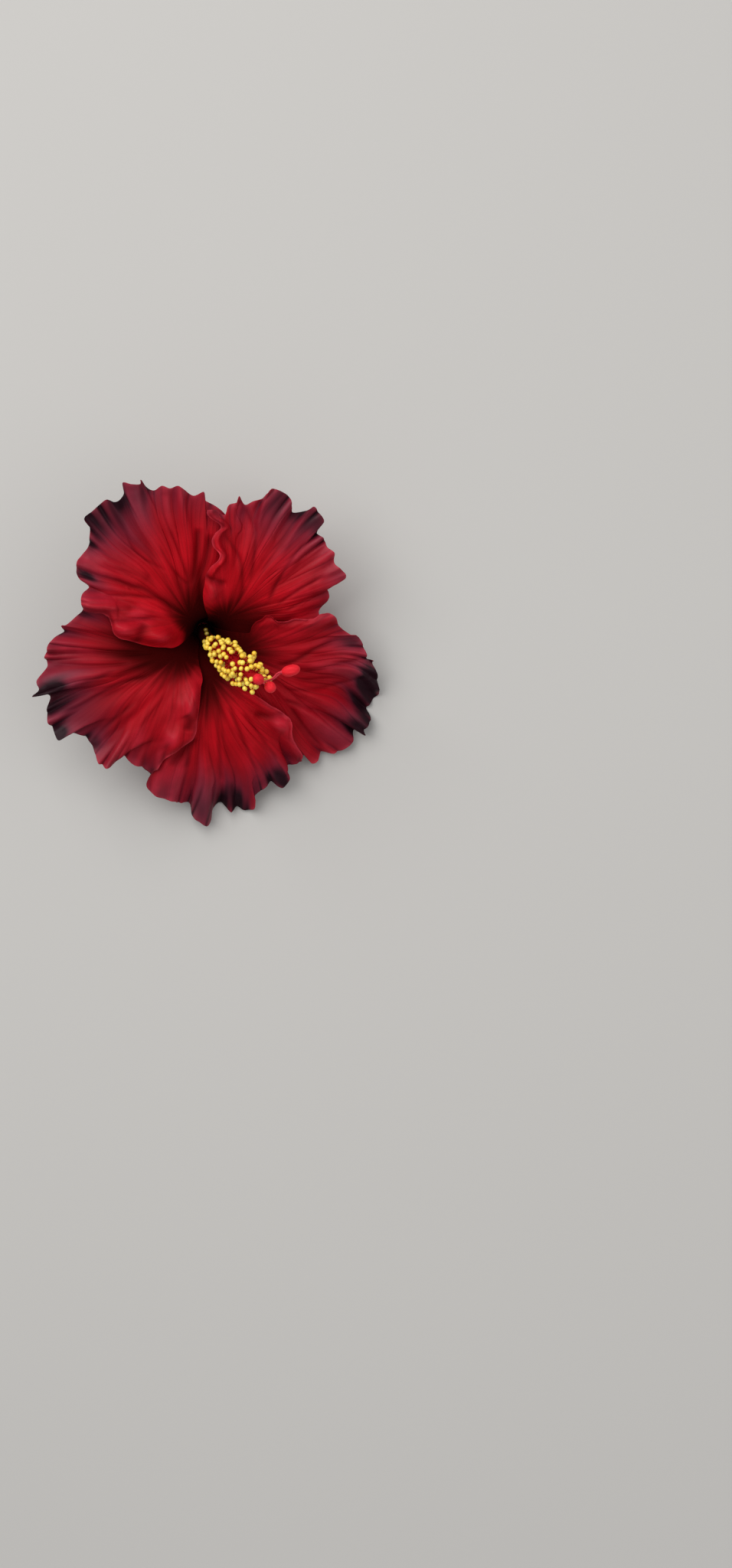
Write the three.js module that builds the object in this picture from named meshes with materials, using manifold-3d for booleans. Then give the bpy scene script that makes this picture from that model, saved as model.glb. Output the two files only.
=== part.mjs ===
// A hibiscus flower, picked and lying face up: five overlapping petals, the staminal column,
// the pistil, the calyx and a short cut stalk with its bractlets.
//
// Millimetres and degrees. The flower is drawn in its own frame: the origin is where the petals'
// claws begin, +Z runs out of the throat and azimuth 0 is +X. The whole flower is then leaned over,
// until it rests on its stalk and on the low rims of two petals, on the plane Z = 0.

import * as THREE from 'three';
import { mergeVertices } from 'three/addons/utils/BufferGeometryUtils.js';
import Module from 'manifold-3d';

const wasm = await Module();
wasm.setup();

// ---- how the flower rests ----
const LEAN = 25; // the axis leans this far from the vertical
const LEAN_AZIMUTH = -49; // towards this side
const RECEPTACLE = [-4.2, 10, 9.7]; // where the flower's own origin lies

// ---- petals ----
const PETAL_THICKNESS = 0.7;
const PETAL_PITCH = 72; // between the middles of neighbouring claws
const CLAW_HALF_WIDTH = 44; // a claw reaches this far to each side of its middle
const PETAL_ROWS = 11; // from the claw to the margin
// The corolla's funnel, as radius and height of its middle surface.
const FUNNEL = [
  [3.7, 0.3], [4.7, 5], [6.2, 10], [8.4, 14.4], [12, 17.8], [18, 20.3],
  [28, 21.8], [40, 21.2], [52, 19.4], [66, 17.2],
];
const FUNNEL_SAMPLES = 240;
// How far the rim hangs below the funnel, or stands above it, at RIM_RADIUS: azimuth and height.
const RIM_RADIUS = 55;
const RIM_START = 20; // the rim's rise and fall begins at this radius
const RIM_HEIGHTS = [
  [-160, -1], [-135, 0], [-112, -2], [-90, -4.9], [-70, 0], [-50, 0], [-31, 1], [-16, -2],
  [12, -1], [35, 1], [60, 2], [90, 0.5], [115, 1.5], [140, 2.5], [165, 0.5],
];
const RIM_CURL_END = 1.15; // the rise and fall grows to this part of the rim's radius
const RIM_GROWTH = 1.7;
// Neighbouring petals lie one over the other, and this far apart: radius and distance.
const LAYER_GAPS = [[3, 1.15], [8, 1.3], [14, 2.2], [30, 3], [66, 3.4]];
// Pleats that run out from the throat through all the petals: waves around the flower, height at
// the rim, and phase.
const PLEATS = [[11, 0.9, 20], [19, 0.9, 200], [31, 0.55, 75], [45, 0.5, 130]];
const PLEAT_START = 13;
const PLEAT_GROWTH = 1.4;
// A petal's own ruffle, besides the shared pleats, and the part of its width that has it.
const RUFFLE_HEIGHT = 1.2;
const RUFFLE_WIDTH = [0.18, 0.42, 0.62, 0.84];
const PUFF_WIDTH = [0.12, 0.3]; // puffs fade in over this part, clear of the covered edge
// The margin's teeth are what its outline adds to its own mean over this part of its length to each
// side; they begin at this part of the way from claw to margin.
const TEETH_MEAN = 0.1;
const TEETH_SAMPLES = 9;
const TEETH_START = 0.7;

// Outlines are drawn on a plane square to SIGHT, through the axis at SIGHT_HEIGHT. A point of an
// outline slides along SIGHT to its own height, towards an eye at EYE_DISTANCE.
const SIGHT = new THREE.Vector3(-0.079, 0.211, 0.974).normalize();
const SIGHT_HEIGHT = 20;
const EYE_DISTANCE = 867;
const SIGHT_STEPS = 3; // tries that settle where a line of sight meets the corolla

// Each petal: the middle of its claw, its margin from the hidden corner to the corner that lies on
// top of the next petal, that upper edge from the margin back into the throat, the hidden lower
// edge as radius and azimuth from the claw's middle, always short of the hidden corner's radius, the
// waves of its own ruffle, and its puffs: place, height, and half length along and across the petal.
const PETALS = {
  petal_upper_left: {
    azimuth: 126,
    margin: [
      [8, 38], [5.5, 41.5], [2.5, 44], [-1, 46], [-1.3, 48.5], [-4.6, 47.3], [-8, 49.5], [-9.8, 50.4],
      [-12.2, 49.6], [-14.8, 50.4], [-17.3, 48.9], [-19.8, 50], [-21.5, 52.3], [-21.8, 50.9],
      [-24.5, 50.9], [-27.3, 51.3], [-27, 48], [-28.4, 45.8], [-30.1, 45.2], [-32.3, 46],
      [-34.6, 44.4], [-37, 42.2], [-39.7, 39.8], [-37.9, 37], [-38, 33.6], [-38.4, 30.8],
      [-40.5, 28], [-41.7, 26], [-41.6, 21.4], [-38.3, 18.1], [-40.1, 16], [-40.3, 13], [-39.5, 10.6],
    ],
    upper_edge: [
      [-36.3, 9.9], [-32.8, 9], [-31.2, 6.5], [-30.1, 3], [-25.8, 1], [-20.9, -0.5], [-15, -1.1],
      [-10, -0.3],
    ],
    lower_edge: [[14, -45], [27, -47]],
    ruffle: [5, 40],
    puffs: [
      [-27.6, 5.4, 3, 4.2, 2.8], [-16.6, 3, 2.8, 3.8, 2.6], [-37, 12, 1.6, 5, 2.5],
      [-40, 17.5, -1.2, 4, 2.5],
    ],
  },
  petal_upper_right: {
    azimuth: 54,
    margin: [
      [35, 1], [37, 4], [37, 7.5], [36.1, 10.5], [38.9, 13.8], [39.2, 16], [38.4, 18.4], [41.5, 20],
      [43.8, 20.8], [44, 22.4], [42.2, 24.2], [40.6, 25.8], [40.2, 29.2], [38.3, 31], [37.6, 33.4],
      [35.5, 35.2], [35.9, 37.3], [37.2, 39.4], [35.5, 41.9], [33.7, 44], [31.5, 42.6], [27.7, 42],
      [26.8, 44], [26.3, 46.4], [24.7, 48], [20.3, 49.7], [18.5, 48.2], [17.4, 46.5], [14.5, 45.6],
      [11.8, 44.5], [9.6, 47.2], [9, 45.2], [6.5, 44.3], [5.2, 41.2], [2.7, 42.7], [-0.4, 42.8],
    ],
    upper_edge: [
      [0.4, 40.5], [3.9, 37.7], [2.1, 35.5], [1.4, 31.5], [3.5, 28.6], [0.4, 24.6], [-1, 21],
      [-1.2, 12.3], [-0.6, 7],
    ],
    lower_edge: [[14, -46], [25, -50]],
    ruffle: [5, 110],
    puffs: [
      [3.2, 38.5, 1.4, 3, 1.6], [3.4, 28.6, 1.8, 3, 1.8], [1.5, 17.5, 2.4, 4, 2.6],
      [10.5, 45, 1.4, 3, 1.6],
    ],
  },
  petal_right: {
    azimuth: -18,
    margin: [
      [24, -38], [27, -39], [30, -37.2], [32, -36.3], [33.2, -38.7], [34.4, -39.1], [35.7, -38.3],
      [37.2, -35.9], [41, -35.9], [43.6, -34.4], [46.6, -32.2], [47.2, -29.6], [48.2, -28.7],
      [50.6, -29.7], [49.9, -27.6], [51.4, -25.3], [52.5, -23.8], [52.1, -21.2], [55.3, -17.6],
      [55.3, -15.6], [54.3, -12.2], [53.5, -9], [52.5, -6.5], [53.1, -5.4], [51, -4.8], [50.1, -2.4],
      [49, 1], [47.2, 3], [45, 3.4], [42, 5.8], [40.5, 8.8], [38.4, 10.2], [36, 9.9],
    ],
    upper_edge: [
      [33, 8.3], [28, 8.4], [22.5, 7.8], [20, 9.7], [17.5, 8.6], [14.6, 6.2], [13.2, 3.5],
    ],
    lower_edge: [[14, -44], [30, -43]],
    ruffle: [5, 250],
    puffs: [[21, 7, 1, 4, 2], [32.5, 6.6, 1.2, 4.5, 2], [38.5, 8, 1.2, 3, 2.5]],
  },
  petal_bottom: {
    azimuth: -90,
    margin: [
      [-23, -36], [-22.6, -39], [-20.8, -41.5], [-18.6, -43.6], [-20, -46.3], [-17.8, -48.1],
      [-13.6, -50], [-11, -50.5], [-9.8, -51.4], [-6.4, -51.8], [-5.6, -53.2], [-5.3, -55.3],
      [-3.2, -56], [-0.8, -57.5], [0.7, -57], [1.4, -53.7], [4, -51.9], [5.4, -52.6], [7.3, -54],
      [9.2, -53.5], [12, -54.9], [14.6, -53.7], [15, -51], [15, -48.8], [17.5, -46.2], [20.2, -44.3],
      [23.7, -46.1], [25.9, -43.2], [25.2, -40], [28.2, -38.9], [29.6, -37],
    ],
    upper_edge: [
      [29.6, -34.8], [27.6, -31.5], [26.4, -28], [26.4, -24.8], [24.4, -22.4], [20.5, -19.8],
      [14.3, -16], [9.4, -13.1],
    ],
    lower_edge: [[14, -44], [30, -37]],
    ruffle: [5, 10],
    puffs: [[22.8, -25, 2.8, 3.2, 2.6], [18.5, -18.2, 1.6, 3, 2.2], [28, -34.5, 1.2, 3, 2]],
  },
  petal_left: {
    azimuth: -162,
    margin: [
      [-35, 14], [-37.5, 13.6], [-39.4, 12.2], [-40.6, 10], [-42.6, 8.2], [-45.5, 5.7], [-47.3, 5.2],
      [-46.6, 3.1], [-49.4, 1.5], [-51.3, -0.5], [-51.6, -2.4], [-52.7, -5], [-51.7, -7.7],
      [-54.6, -11.3], [-53.8, -14], [-56.1, -16.4], [-53.2, -16], [-50.9, -17.7], [-51.8, -21.2],
      [-51.2, -25], [-49.5, -28], [-47.9, -30.5], [-45, -28.5], [-40.5, -29.5], [-37.6, -31.8],
      [-36.4, -34.6], [-34.9, -37.8], [-31.8, -38.7], [-29.2, -37], [-27, -35.7], [-24.5, -38],
      [-20.8, -39.7], [-18.2, -42.2],
    ],
    upper_edge: [
      [-16.5, -40], [-14.2, -37], [-10.5, -34.2], [-7, -31.8], [-4.6, -29.4], [-3.8, -25],
      [-3.2, -20], [-2.7, -14.5], [-2.3, -11],
    ],
    lower_edge: [[14, -43], [26, -42]],
    ruffle: [5, 330],
    puffs: [
      [-6.5, -19.5, 2.8, 5, 3.6], [-12, -30, 2.4, 3.4, 2.6], [-15.5, -39, 1.2, 3, 2],
      [-36, 3.5, -1.6, 6, 1.8],
    ],
  },
};

// ---- staminal column ----
const COLUMN_PATH = [[0, 0, 0.2], [0, 0, 9], [2.6, -1.2, 22], [8.4, -3.6, 35.5], [13.9, -6.2, 46.8]];
const COLUMN_RADII = [[0, 2.25], [0.3, 1.95], [1, 1.55]];
const COLUMN_BORE_RADIUS = 0.92;
const BORE_OVERRUN = 2;
const JOINT = 0.05; // rods run this far into what they join
const COLUMN_RINGS = 14;
const COLUMN_SIDES = 10;
const ANTHER_COUNT = 64;
const ANTHER_RADIUS = 0.98;
const ANTHER_SPAN = [0.24, 0.985]; // the stretch of the column that bears anthers
const ANTHER_CROWDING = 0.9; // under 1, they stand closer together towards the tip
const INNER_ANTHERS = { every: 3, reach: 0.8 }; // every third one stands nearer to the column
// How far the anthers' middles stand from the column's middle line, along that stretch.
const ANTHER_REACH = [[0, 2.4], [0.2, 3.4], [0.5, 5.1], [0.85, 5.1], [1, 3.8]];
const FILAMENT_RADIUS = 0.36;
const FILAMENT_SIDES = 3;
const FILAMENT_SWEEP = 1.9; // an anther stands this far towards the tip from its filament's root
const GOLDEN_ANGLE = 137.508;

// ---- pistil ----
const STYLE_RADIUS = 0.5;
const STYLE_SIDES = 6;
const STYLE_EXPOSED = 1.6; // it leaves the column's tip by this much before it divides
const BRANCH_RADIUS = 0.36;
const BRANCH_MESH = { rings: 5, sides: 5 };
const BRANCH_ARCH = 1; // a branch arches this far beyond the straight way to its stigma
const BRANCH_APPROACH = 1.2; // and meets it from this far behind it
const STIGMA_RADIUS = 1.9;
const STIGMA_MESH = { rings: 6, sides: 8 };
const STIGMA_BASE = 0.86; // its egg is this much slimmer towards the branch
const STIGMA_END = 0.03; // both ends are cut off where the square of the egg's breadth is this small
const STIGMA_SINK = 0.15; // a branch ends at this part of its stigma's length
const OVARY = { radius: 2.1, bottom: -4.9, top: -0.3 };
const OVARY_MESH = { rings: 8, sides: 12 };
// Each stigma: the ends of its long axis on the outline plane, each with its height.
const STIGMAS = [
  [[23.6, -9.4, 52], [29.6, -8.1, 53]],
  [[16.4, -11.9, 51.6], [15.9, -11.4, 57]],
  [[19.2, -13.2, 50.6], [20.6, -15, 55.6]],
  [[23.6, -9.5, 48], [28.4, -8.5, 46]],
  [[24, -9.6, 40], [27.6, -8.4, 37]],
];

// ---- calyx and stalk ----
const CALYX_LOBES = 5;
const CALYX_WALL = 0.8;
const CALYX_COLUMNS = 30;
const CALYX_CLEARANCE = 1.75; // from the funnel's middle surface to the calyx's inner face
const CALYX_NOTCH_HEIGHT = 4;
const CALYX_TIP_HEIGHT = 13;
const CALYX_FLOOR = -5.2;
const CALYX_FLOOR_RADIUS = 3.4;
const CALYX_FOOT_RADIUS = 2.8; // of its underside
const CALYX_FLARE = [-5.6, 0]; // it widens from the floor to the claws between these heights
const CALYX_LOBE_POWER = 0.8; // under 1, the lobes are narrower and more pointed
const CALYX_STEPS = [0, 0.22, 0.46, 0.72, 1]; // rings of the wall, as parts of the way up
const STALK = { radius: 1.6, collar: 2.9, top: -6.6, bottom: -10 };
const STALK_EDGE = { cut: [0.2, 0.3], collar: [1.8, 0.7, 0.15] }; // bevels at the cut and the collar
const STALK_SIDES = 12;
const BRACTLET_COUNT = 7;
const BRACTLET_TURN = 0.3; // the first one stands this part of their pitch round from +X
const BRACTLET_PATH = [[1.2, -7.7], [4.6, -7.5], [7.4, -5], [9.2, -0.6], [10.6, 4.2]];
const BRACTLET_WIDTHS = [[0, 2], [0.4, 1.9], [0.75, 1.3], [1, 0.35]];
const BRACTLET_THICKNESS = 0.7;
const BRACTLET_COLUMNS = 2;
const BRACTLET_RINGS = 6;
const MERGE_DISTANCE = 1e-5; // vertices closer than this are one

const radians = THREE.MathUtils.degToRad;
const degrees = THREE.MathUtils.radToDeg;
const { lerp, smoothstep } = THREE.MathUtils;

/** A smooth function through [x, y] knots in rising order of x, level at and beyond its ends. */
function through(knots) {
  const slopes = knots.map((_, i) => {
    if (i === 0 || i === knots.length - 1) return 0;
    const [[x0, y0], [x1, y1]] = [knots[i - 1], knots[i + 1]];
    return (y1 - y0) / (x1 - x0);
  });
  return (x) => {
    if (x <= knots[0][0]) return knots[0][1];
    if (x >= knots.at(-1)[0]) return knots.at(-1)[1];
    const i = knots.findIndex(([next]) => next > x) - 1;
    const [x0, y0] = knots[i];
    const [x1, y1] = knots[i + 1];
    const span = x1 - x0;
    const t = (x - x0) / span;
    const [a, b] = [y0 + (slopes[i] * span * t), y1 - (slopes[i + 1] * span * (1 - t))];
    return lerp(a, b, t * t * (3 - 2 * t));
  };
}

/** The same through knots that repeat every 360 degrees. */
function around(knots) {
  const shifted = (turn) => knots.map(([angle, y]) => [angle + turn, y]);
  const wrapped = through([...shifted(-360), ...knots, ...shifted(360)]);
  return (angle) => wrapped(THREE.MathUtils.euclideanModulo(angle + 180, 360) - 180);
}

// ---- the corolla's common surface ----

const funnelCurve = new THREE.SplineCurve(FUNNEL.map(([r, z]) => new THREE.Vector2(r, z)));
const funnelPoints = funnelCurve.getPoints(FUNNEL_SAMPLES);
const funnelLengths = funnelPoints.map(() => 0);
for (let i = 1; i < funnelPoints.length; i += 1) {
  funnelLengths[i] = funnelLengths[i - 1] + funnelPoints[i].distanceTo(funnelPoints[i - 1]);
}

/** Value of `to` where `from`, an increasing list, reaches x. */
function lookUp(x, from, to) {
  const i = THREE.MathUtils.clamp(from.findIndex((f) => f >= x), 1, from.length - 1);
  return lerp(to[i - 1], to[i], (x - from[i - 1]) / (from[i] - from[i - 1]));
}
const funnelRadii = funnelPoints.map((p) => p.x);
const funnelHeights = funnelPoints.map((p) => p.y);
const funnelSlopes = funnelPoints.map((_, i) => {
  const along = funnelCurve.getTangent(i / FUNNEL_SAMPLES);
  return Math.atan2(along.y, along.x);
});
const funnelHeight = (r) => lookUp(r, funnelRadii, funnelHeights);
const lengthAtRadius = (r) => lookUp(r, funnelRadii, funnelLengths);

const rimHeight = around(RIM_HEIGHTS);
const layerGap = through(LAYER_GAPS);

/** How far the rim's slow rise and fall moves the surface at a radius and azimuth. */
function rimShift(r, azimuth) {
  const out = THREE.MathUtils.clamp((r - RIM_START) / (RIM_RADIUS - RIM_START), 0, RIM_CURL_END);
  return rimHeight(azimuth) * out ** RIM_GROWTH;
}

/** Height of the pleats that all petals share. */
function pleats(r, azimuth) {
  const out = Math.max(0, (r - PLEAT_START) / (RIM_RADIUS - PLEAT_START)) ** PLEAT_GROWTH;
  return PLEATS.reduce((sum, [count, height, phase]) => (
    sum + out * height * Math.cos(radians(count * azimuth + phase))
  ), 0);
}

// ---- the outline plane ----

const SIGHT_RIGHT = new THREE.Vector3(1, 0, 0).projectOnPlane(SIGHT).normalize();
const SIGHT_UP = SIGHT.clone().cross(SIGHT_RIGHT);

/** The flower's point with this height that lies on the outline plane's point X, Y along SIGHT. */
function alongSight(X, Y, height) {
  const rise = height - SIGHT_HEIGHT;
  const depth = (scale) => (rise - scale * (X * SIGHT_RIGHT.z + Y * SIGHT_UP.z)) / SIGHT.z;
  const scale = 1 - depth(1) / EYE_DISTANCE;
  return new THREE.Vector3(0, 0, SIGHT_HEIGHT)
    .addScaledVector(SIGHT_RIGHT, X * scale)
    .addScaledVector(SIGHT_UP, Y * scale)
    .addScaledVector(SIGHT, depth(scale));
}

/** Where the outline plane's point X, Y meets the corolla: radius, azimuth near `about`. */
function onCorolla([X, Y], about) {
  let point = alongSight(X, Y, SIGHT_HEIGHT);
  for (let i = 0; i < SIGHT_STEPS; i += 1) {
    const r = Math.hypot(point.x, point.y);
    const azimuth = degrees(Math.atan2(point.y, point.x));
    point = alongSight(X, Y, funnelHeight(r) + rimShift(r, azimuth));
  }
  const azimuth = degrees(Math.atan2(point.y, point.x));
  return [Math.hypot(point.x, point.y), azimuth + 360 * Math.round((about - azimuth) / 360)];
}

/** The mean of an outline around t, in which its teeth are gone. */
function toothless(outline, t) {
  const reach = Math.min(TEETH_MEAN, t, 1 - t);
  const sum = new THREE.Vector2();
  for (let i = 0; i < TEETH_SAMPLES; i += 1) {
    sum.add(outline.getPoint(t + reach * ((2 * i) / (TEETH_SAMPLES - 1) - 1)));
  }
  return sum.divideScalar(TEETH_SAMPLES);
}

/** A function of t across the petal (0 to 1) and v from claw to margin that gives its middle surface. */
function petalSurface({ azimuth: middle, margin, upper_edge, lower_edge, ruffle, puffs }) {
  const outline = new THREE.SplineCurve(margin.map(([X, Y]) => new THREE.Vector2(X, Y)));
  const corners = [margin[0], margin.at(-1)].map((corner) => onCorolla(corner, middle));
  const claw = FUNNEL[0][0];
  const lowerAzimuth = through([
    [claw, middle - CLAW_HALF_WIDTH],
    ...lower_edge.map(([r, turn]) => [r, middle + turn]),
    corners[0],
  ]);
  const upperAzimuth = through([
    [claw, middle + CLAW_HALF_WIDTH],
    ...upper_edge.map((knot) => onCorolla(knot, middle)).reverse(),
    corners[1],
  ]);
  const placedPuffs = puffs.map(([X, Y, ...shape]) => [...onCorolla([X, Y], middle), ...shape]);
  const [waves, phase] = ruffle;

  return (t, v) => {
    const mean = toothless(outline, t);
    const tooth = outline.getPoint(t).sub(mean);
    const [rimR, rimAzimuth] = onCorolla(mean.toArray(), middle);
    const length = lerp(funnelLengths[0], lengthAtRadius(rimR), v);
    let r = lookUp(length, funnelLengths, funnelRadii);
    let z = lookUp(length, funnelLengths, funnelHeights);
    const slope = lookUp(length, funnelLengths, funnelSlopes);

    const across = (rimAzimuth - corners[0][1]) / (corners[1][1] - corners[0][1]);
    const azimuth = lerp(lowerAzimuth(r), upperAzimuth(r), lerp(t, across, v));
    const fromMiddle = azimuth - middle;

    const layer = layerGap(r) * (fromMiddle / PETAL_PITCH);
    const out = Math.max(0, (r - PLEAT_START) / (RIM_RADIUS - PLEAT_START)) ** 2;
    const [begin, full, fading, end] = RUFFLE_WIDTH;
    const window = smoothstep(t, begin, full) * (1 - smoothstep(t, fading, end));
    const own = RUFFLE_HEIGHT * out * window * Math.cos(radians(360 * waves * t + phase));
    const puffed = placedPuffs.reduce((sum, [pr, pa, height, along, sideways]) => {
      const dr = (r - pr) / along;
      const da = (r * radians(azimuth - pa)) / sideways;
      return sum + height * Math.exp(-dr * dr - da * da);
    }, 0);
    const offset = layer + pleats(r, azimuth) + own + puffed * smoothstep(t, ...PUFF_WIDTH);

    z += offset * Math.cos(slope) + rimShift(r, azimuth);
    r -= offset * Math.sin(slope);
    const point = new THREE.Vector3(r * Math.cos(radians(azimuth)), r * Math.sin(radians(azimuth)), z);
    const outer = smoothstep(v, TEETH_START, 1);
    return point.addScaledVector(SIGHT_RIGHT, tooth.x * outer).addScaledVector(SIGHT_UP, tooth.y * outer);
  };
}

// ---- closed meshes ----

function geometryOf(positions, triangles) {
  const geometry = new THREE.BufferGeometry();
  const numbers = positions.flatMap((p) => p.toArray());
  geometry.setAttribute('position', new THREE.Float32BufferAttribute(numbers, 3));
  geometry.setIndex(triangles);
  return geometry;
}

/** A blade of even thickness about a middle surface, split alike on both faces. */
function blade(surface, columns, rows, thickness) {
  const grid = [];
  for (let j = 0; j <= rows; j += 1) {
    for (let i = 0; i <= columns; i += 1) grid.push(surface(i / columns, j / rows));
  }
  const at = (i, j) => j * (columns + 1) + i;
  const middle = (i, j) => grid[at(THREE.MathUtils.clamp(i, 0, columns), THREE.MathUtils.clamp(j, 0, rows))];
  const faces = [0.5, -0.5].flatMap((side) => grid.map((p, n) => {
    const [i, j] = [n % (columns + 1), Math.floor(n / (columns + 1))];
    const across = middle(i + 1, j).clone().sub(middle(i - 1, j));
    const along = middle(i, j + 1).clone().sub(middle(i, j - 1));
    return p.clone().addScaledVector(along.cross(across).normalize(), -side * thickness);
  }));
  const back = grid.length;
  const triangles = [];
  for (let j = 0; j < rows; j += 1) {
    for (let i = 0; i < columns; i += 1) {
      const [a, b, c, d] = [at(i, j), at(i + 1, j), at(i + 1, j + 1), at(i, j + 1)];
      triangles.push(a, b, c, a, c, d);
      triangles.push(back + a, back + c, back + b, back + a, back + d, back + c);
    }
  }
  const rim = [];
  for (let i = 0; i < columns; i += 1) rim.push(at(i, 0));
  for (let j = 0; j < rows; j += 1) rim.push(at(columns, j));
  for (let i = columns; i > 0; i -= 1) rim.push(at(i, rows));
  for (let j = rows; j > 0; j -= 1) rim.push(at(0, j));
  rim.forEach((a, n) => {
    const b = rim[(n + 1) % rim.length];
    triangles.push(back + a, back + b, b, back + a, b, a);
  });
  return geometryOf(faces, triangles);
}

/** A closed skin over rings of equal count, each ring counter-clockwise as seen from the last one. */
function loft(rings) {
  const sides = rings[0].length;
  const centre = (ring) => ring.reduce((sum, p) => sum.add(p), new THREE.Vector3()).divideScalar(sides);
  const points = [...rings.flat(), centre(rings[0]), centre(rings.at(-1))];
  const [first, last] = [points.length - 2, points.length - 1];
  const triangles = [];
  for (let k = 0; k < sides; k += 1) {
    const next = (k + 1) % sides;
    triangles.push(first, next, k);
    for (let j = 0; j + 1 < rings.length; j += 1) {
      const [a, b] = [j * sides + k, j * sides + next];
      triangles.push(a, b, b + sides, a, b + sides, a + sides);
    }
    const base = (rings.length - 1) * sides;
    triangles.push(last, base + k, base + next);
  }
  return geometryOf(points, triangles);
}

/** Rings of one section, carried along a path. shape(s, angle) is the distance from the path. */
function sweep(path, rings, sides, shape) {
  const frames = path.computeFrenetFrames(rings, false);
  return loft(Array.from({ length: rings + 1 }, (_, j) => {
    const s = j / rings;
    const centre = path.getPointAt(s);
    return Array.from({ length: sides }, (__, k) => {
      const angle = (2 * Math.PI * k) / sides;
      return centre.clone()
        .addScaledVector(frames.normals[j], shape(s) * Math.cos(angle))
        .addScaledVector(frames.binormals[j], shape(s) * Math.sin(angle));
    });
  }));
}

/** A straight rod that runs past both of its ends by JOINT. */
function rod(from, to, radius, sides) {
  const step = to.clone().sub(from).setLength(JOINT);
  const line = new THREE.LineCurve3(from.clone().sub(step), to.clone().add(step));
  return sweep(line, 1, sides, () => radius);
}

const curveThrough = (points) => new THREE.CatmullRomCurve3(points.map((p) => new THREE.Vector3(...p)));

function solidOf(geometry) {
  const bare = geometry.clone();
  bare.deleteAttribute('normal');
  bare.deleteAttribute('uv');
  const merged = mergeVertices(bare, MERGE_DISTANCE);
  return new wasm.Manifold(new wasm.Mesh({
    numProp: 3,
    vertProperties: new Float32Array(merged.attributes.position.array),
    triVerts: new Uint32Array(merged.index.array),
  }));
}

function geometryFrom(solid) {
  const { vertProperties, triVerts } = solid.getMesh();
  const geometry = new THREE.BufferGeometry();
  geometry.setAttribute('position', new THREE.BufferAttribute(new Float32Array(vertProperties), 3));
  geometry.setIndex(new THREE.BufferAttribute(new Uint32Array(triVerts), 1));
  return geometry;
}

// ---- the pieces ----

const columnPath = curveThrough(COLUMN_PATH);
const columnRadius = through(COLUMN_RADII);

/** The point on the column's middle line, this far beyond its base (end 0) or its tip (end 1). */
function beyondColumn(end, distance) {
  return columnPath.getPoint(end).addScaledVector(columnPath.getTangent(end), end ? distance : -distance);
}

/** The tube, with an anther on a short filament at each step of a spiral around it. */
function staminalColumn() {
  const tube = solidOf(sweep(columnPath, COLUMN_RINGS, COLUMN_SIDES, columnRadius));
  const reach = through(ANTHER_REACH);
  const frames = columnPath.computeFrenetFrames(ANTHER_COUNT, false);
  const stamens = Array.from({ length: ANTHER_COUNT }, (_, i) => {
    const along = i / (ANTHER_COUNT - 1);
    const s = lerp(...ANTHER_SPAN, along ** ANTHER_CROWDING);
    const turn = radians(i * GOLDEN_ANGLE);
    const frame = Math.round(s * ANTHER_COUNT);
    const outward = frames.normals[frame].clone().multiplyScalar(Math.cos(turn))
      .addScaledVector(frames.binormals[frame], Math.sin(turn));
    const middle = columnPath.getPointAt(s);
    const root = middle.clone().addScaledVector(outward, columnRadius(s) - FILAMENT_RADIUS);
    const nearness = i % INNER_ANTHERS.every ? 1 : INNER_ANTHERS.reach;
    const tip = middle.clone().addScaledVector(outward, reach(along) * nearness)
      .addScaledVector(frames.tangents[frame], FILAMENT_SWEEP);
    const filament = sweep(new THREE.LineCurve3(root, tip), 1, FILAMENT_SIDES, () => FILAMENT_RADIUS);
    const anther = new THREE.IcosahedronGeometry(ANTHER_RADIUS, 0).translate(tip.x, tip.y, tip.z);
    return solidOf(filament).add(solidOf(anther));
  });
  const bore = [
    sweep(columnPath, COLUMN_RINGS, COLUMN_SIDES, () => COLUMN_BORE_RADIUS),
    rod(beyondColumn(0, BORE_OVERRUN), columnPath.getPoint(0), COLUMN_BORE_RADIUS, COLUMN_SIDES),
    rod(columnPath.getPoint(1), beyondColumn(1, BORE_OVERRUN), COLUMN_BORE_RADIUS, COLUMN_SIDES),
  ].map(solidOf);
  return geometryFrom(wasm.Manifold.union([tube, ...stamens]).subtract(wasm.Manifold.union(bore)));
}

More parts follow.
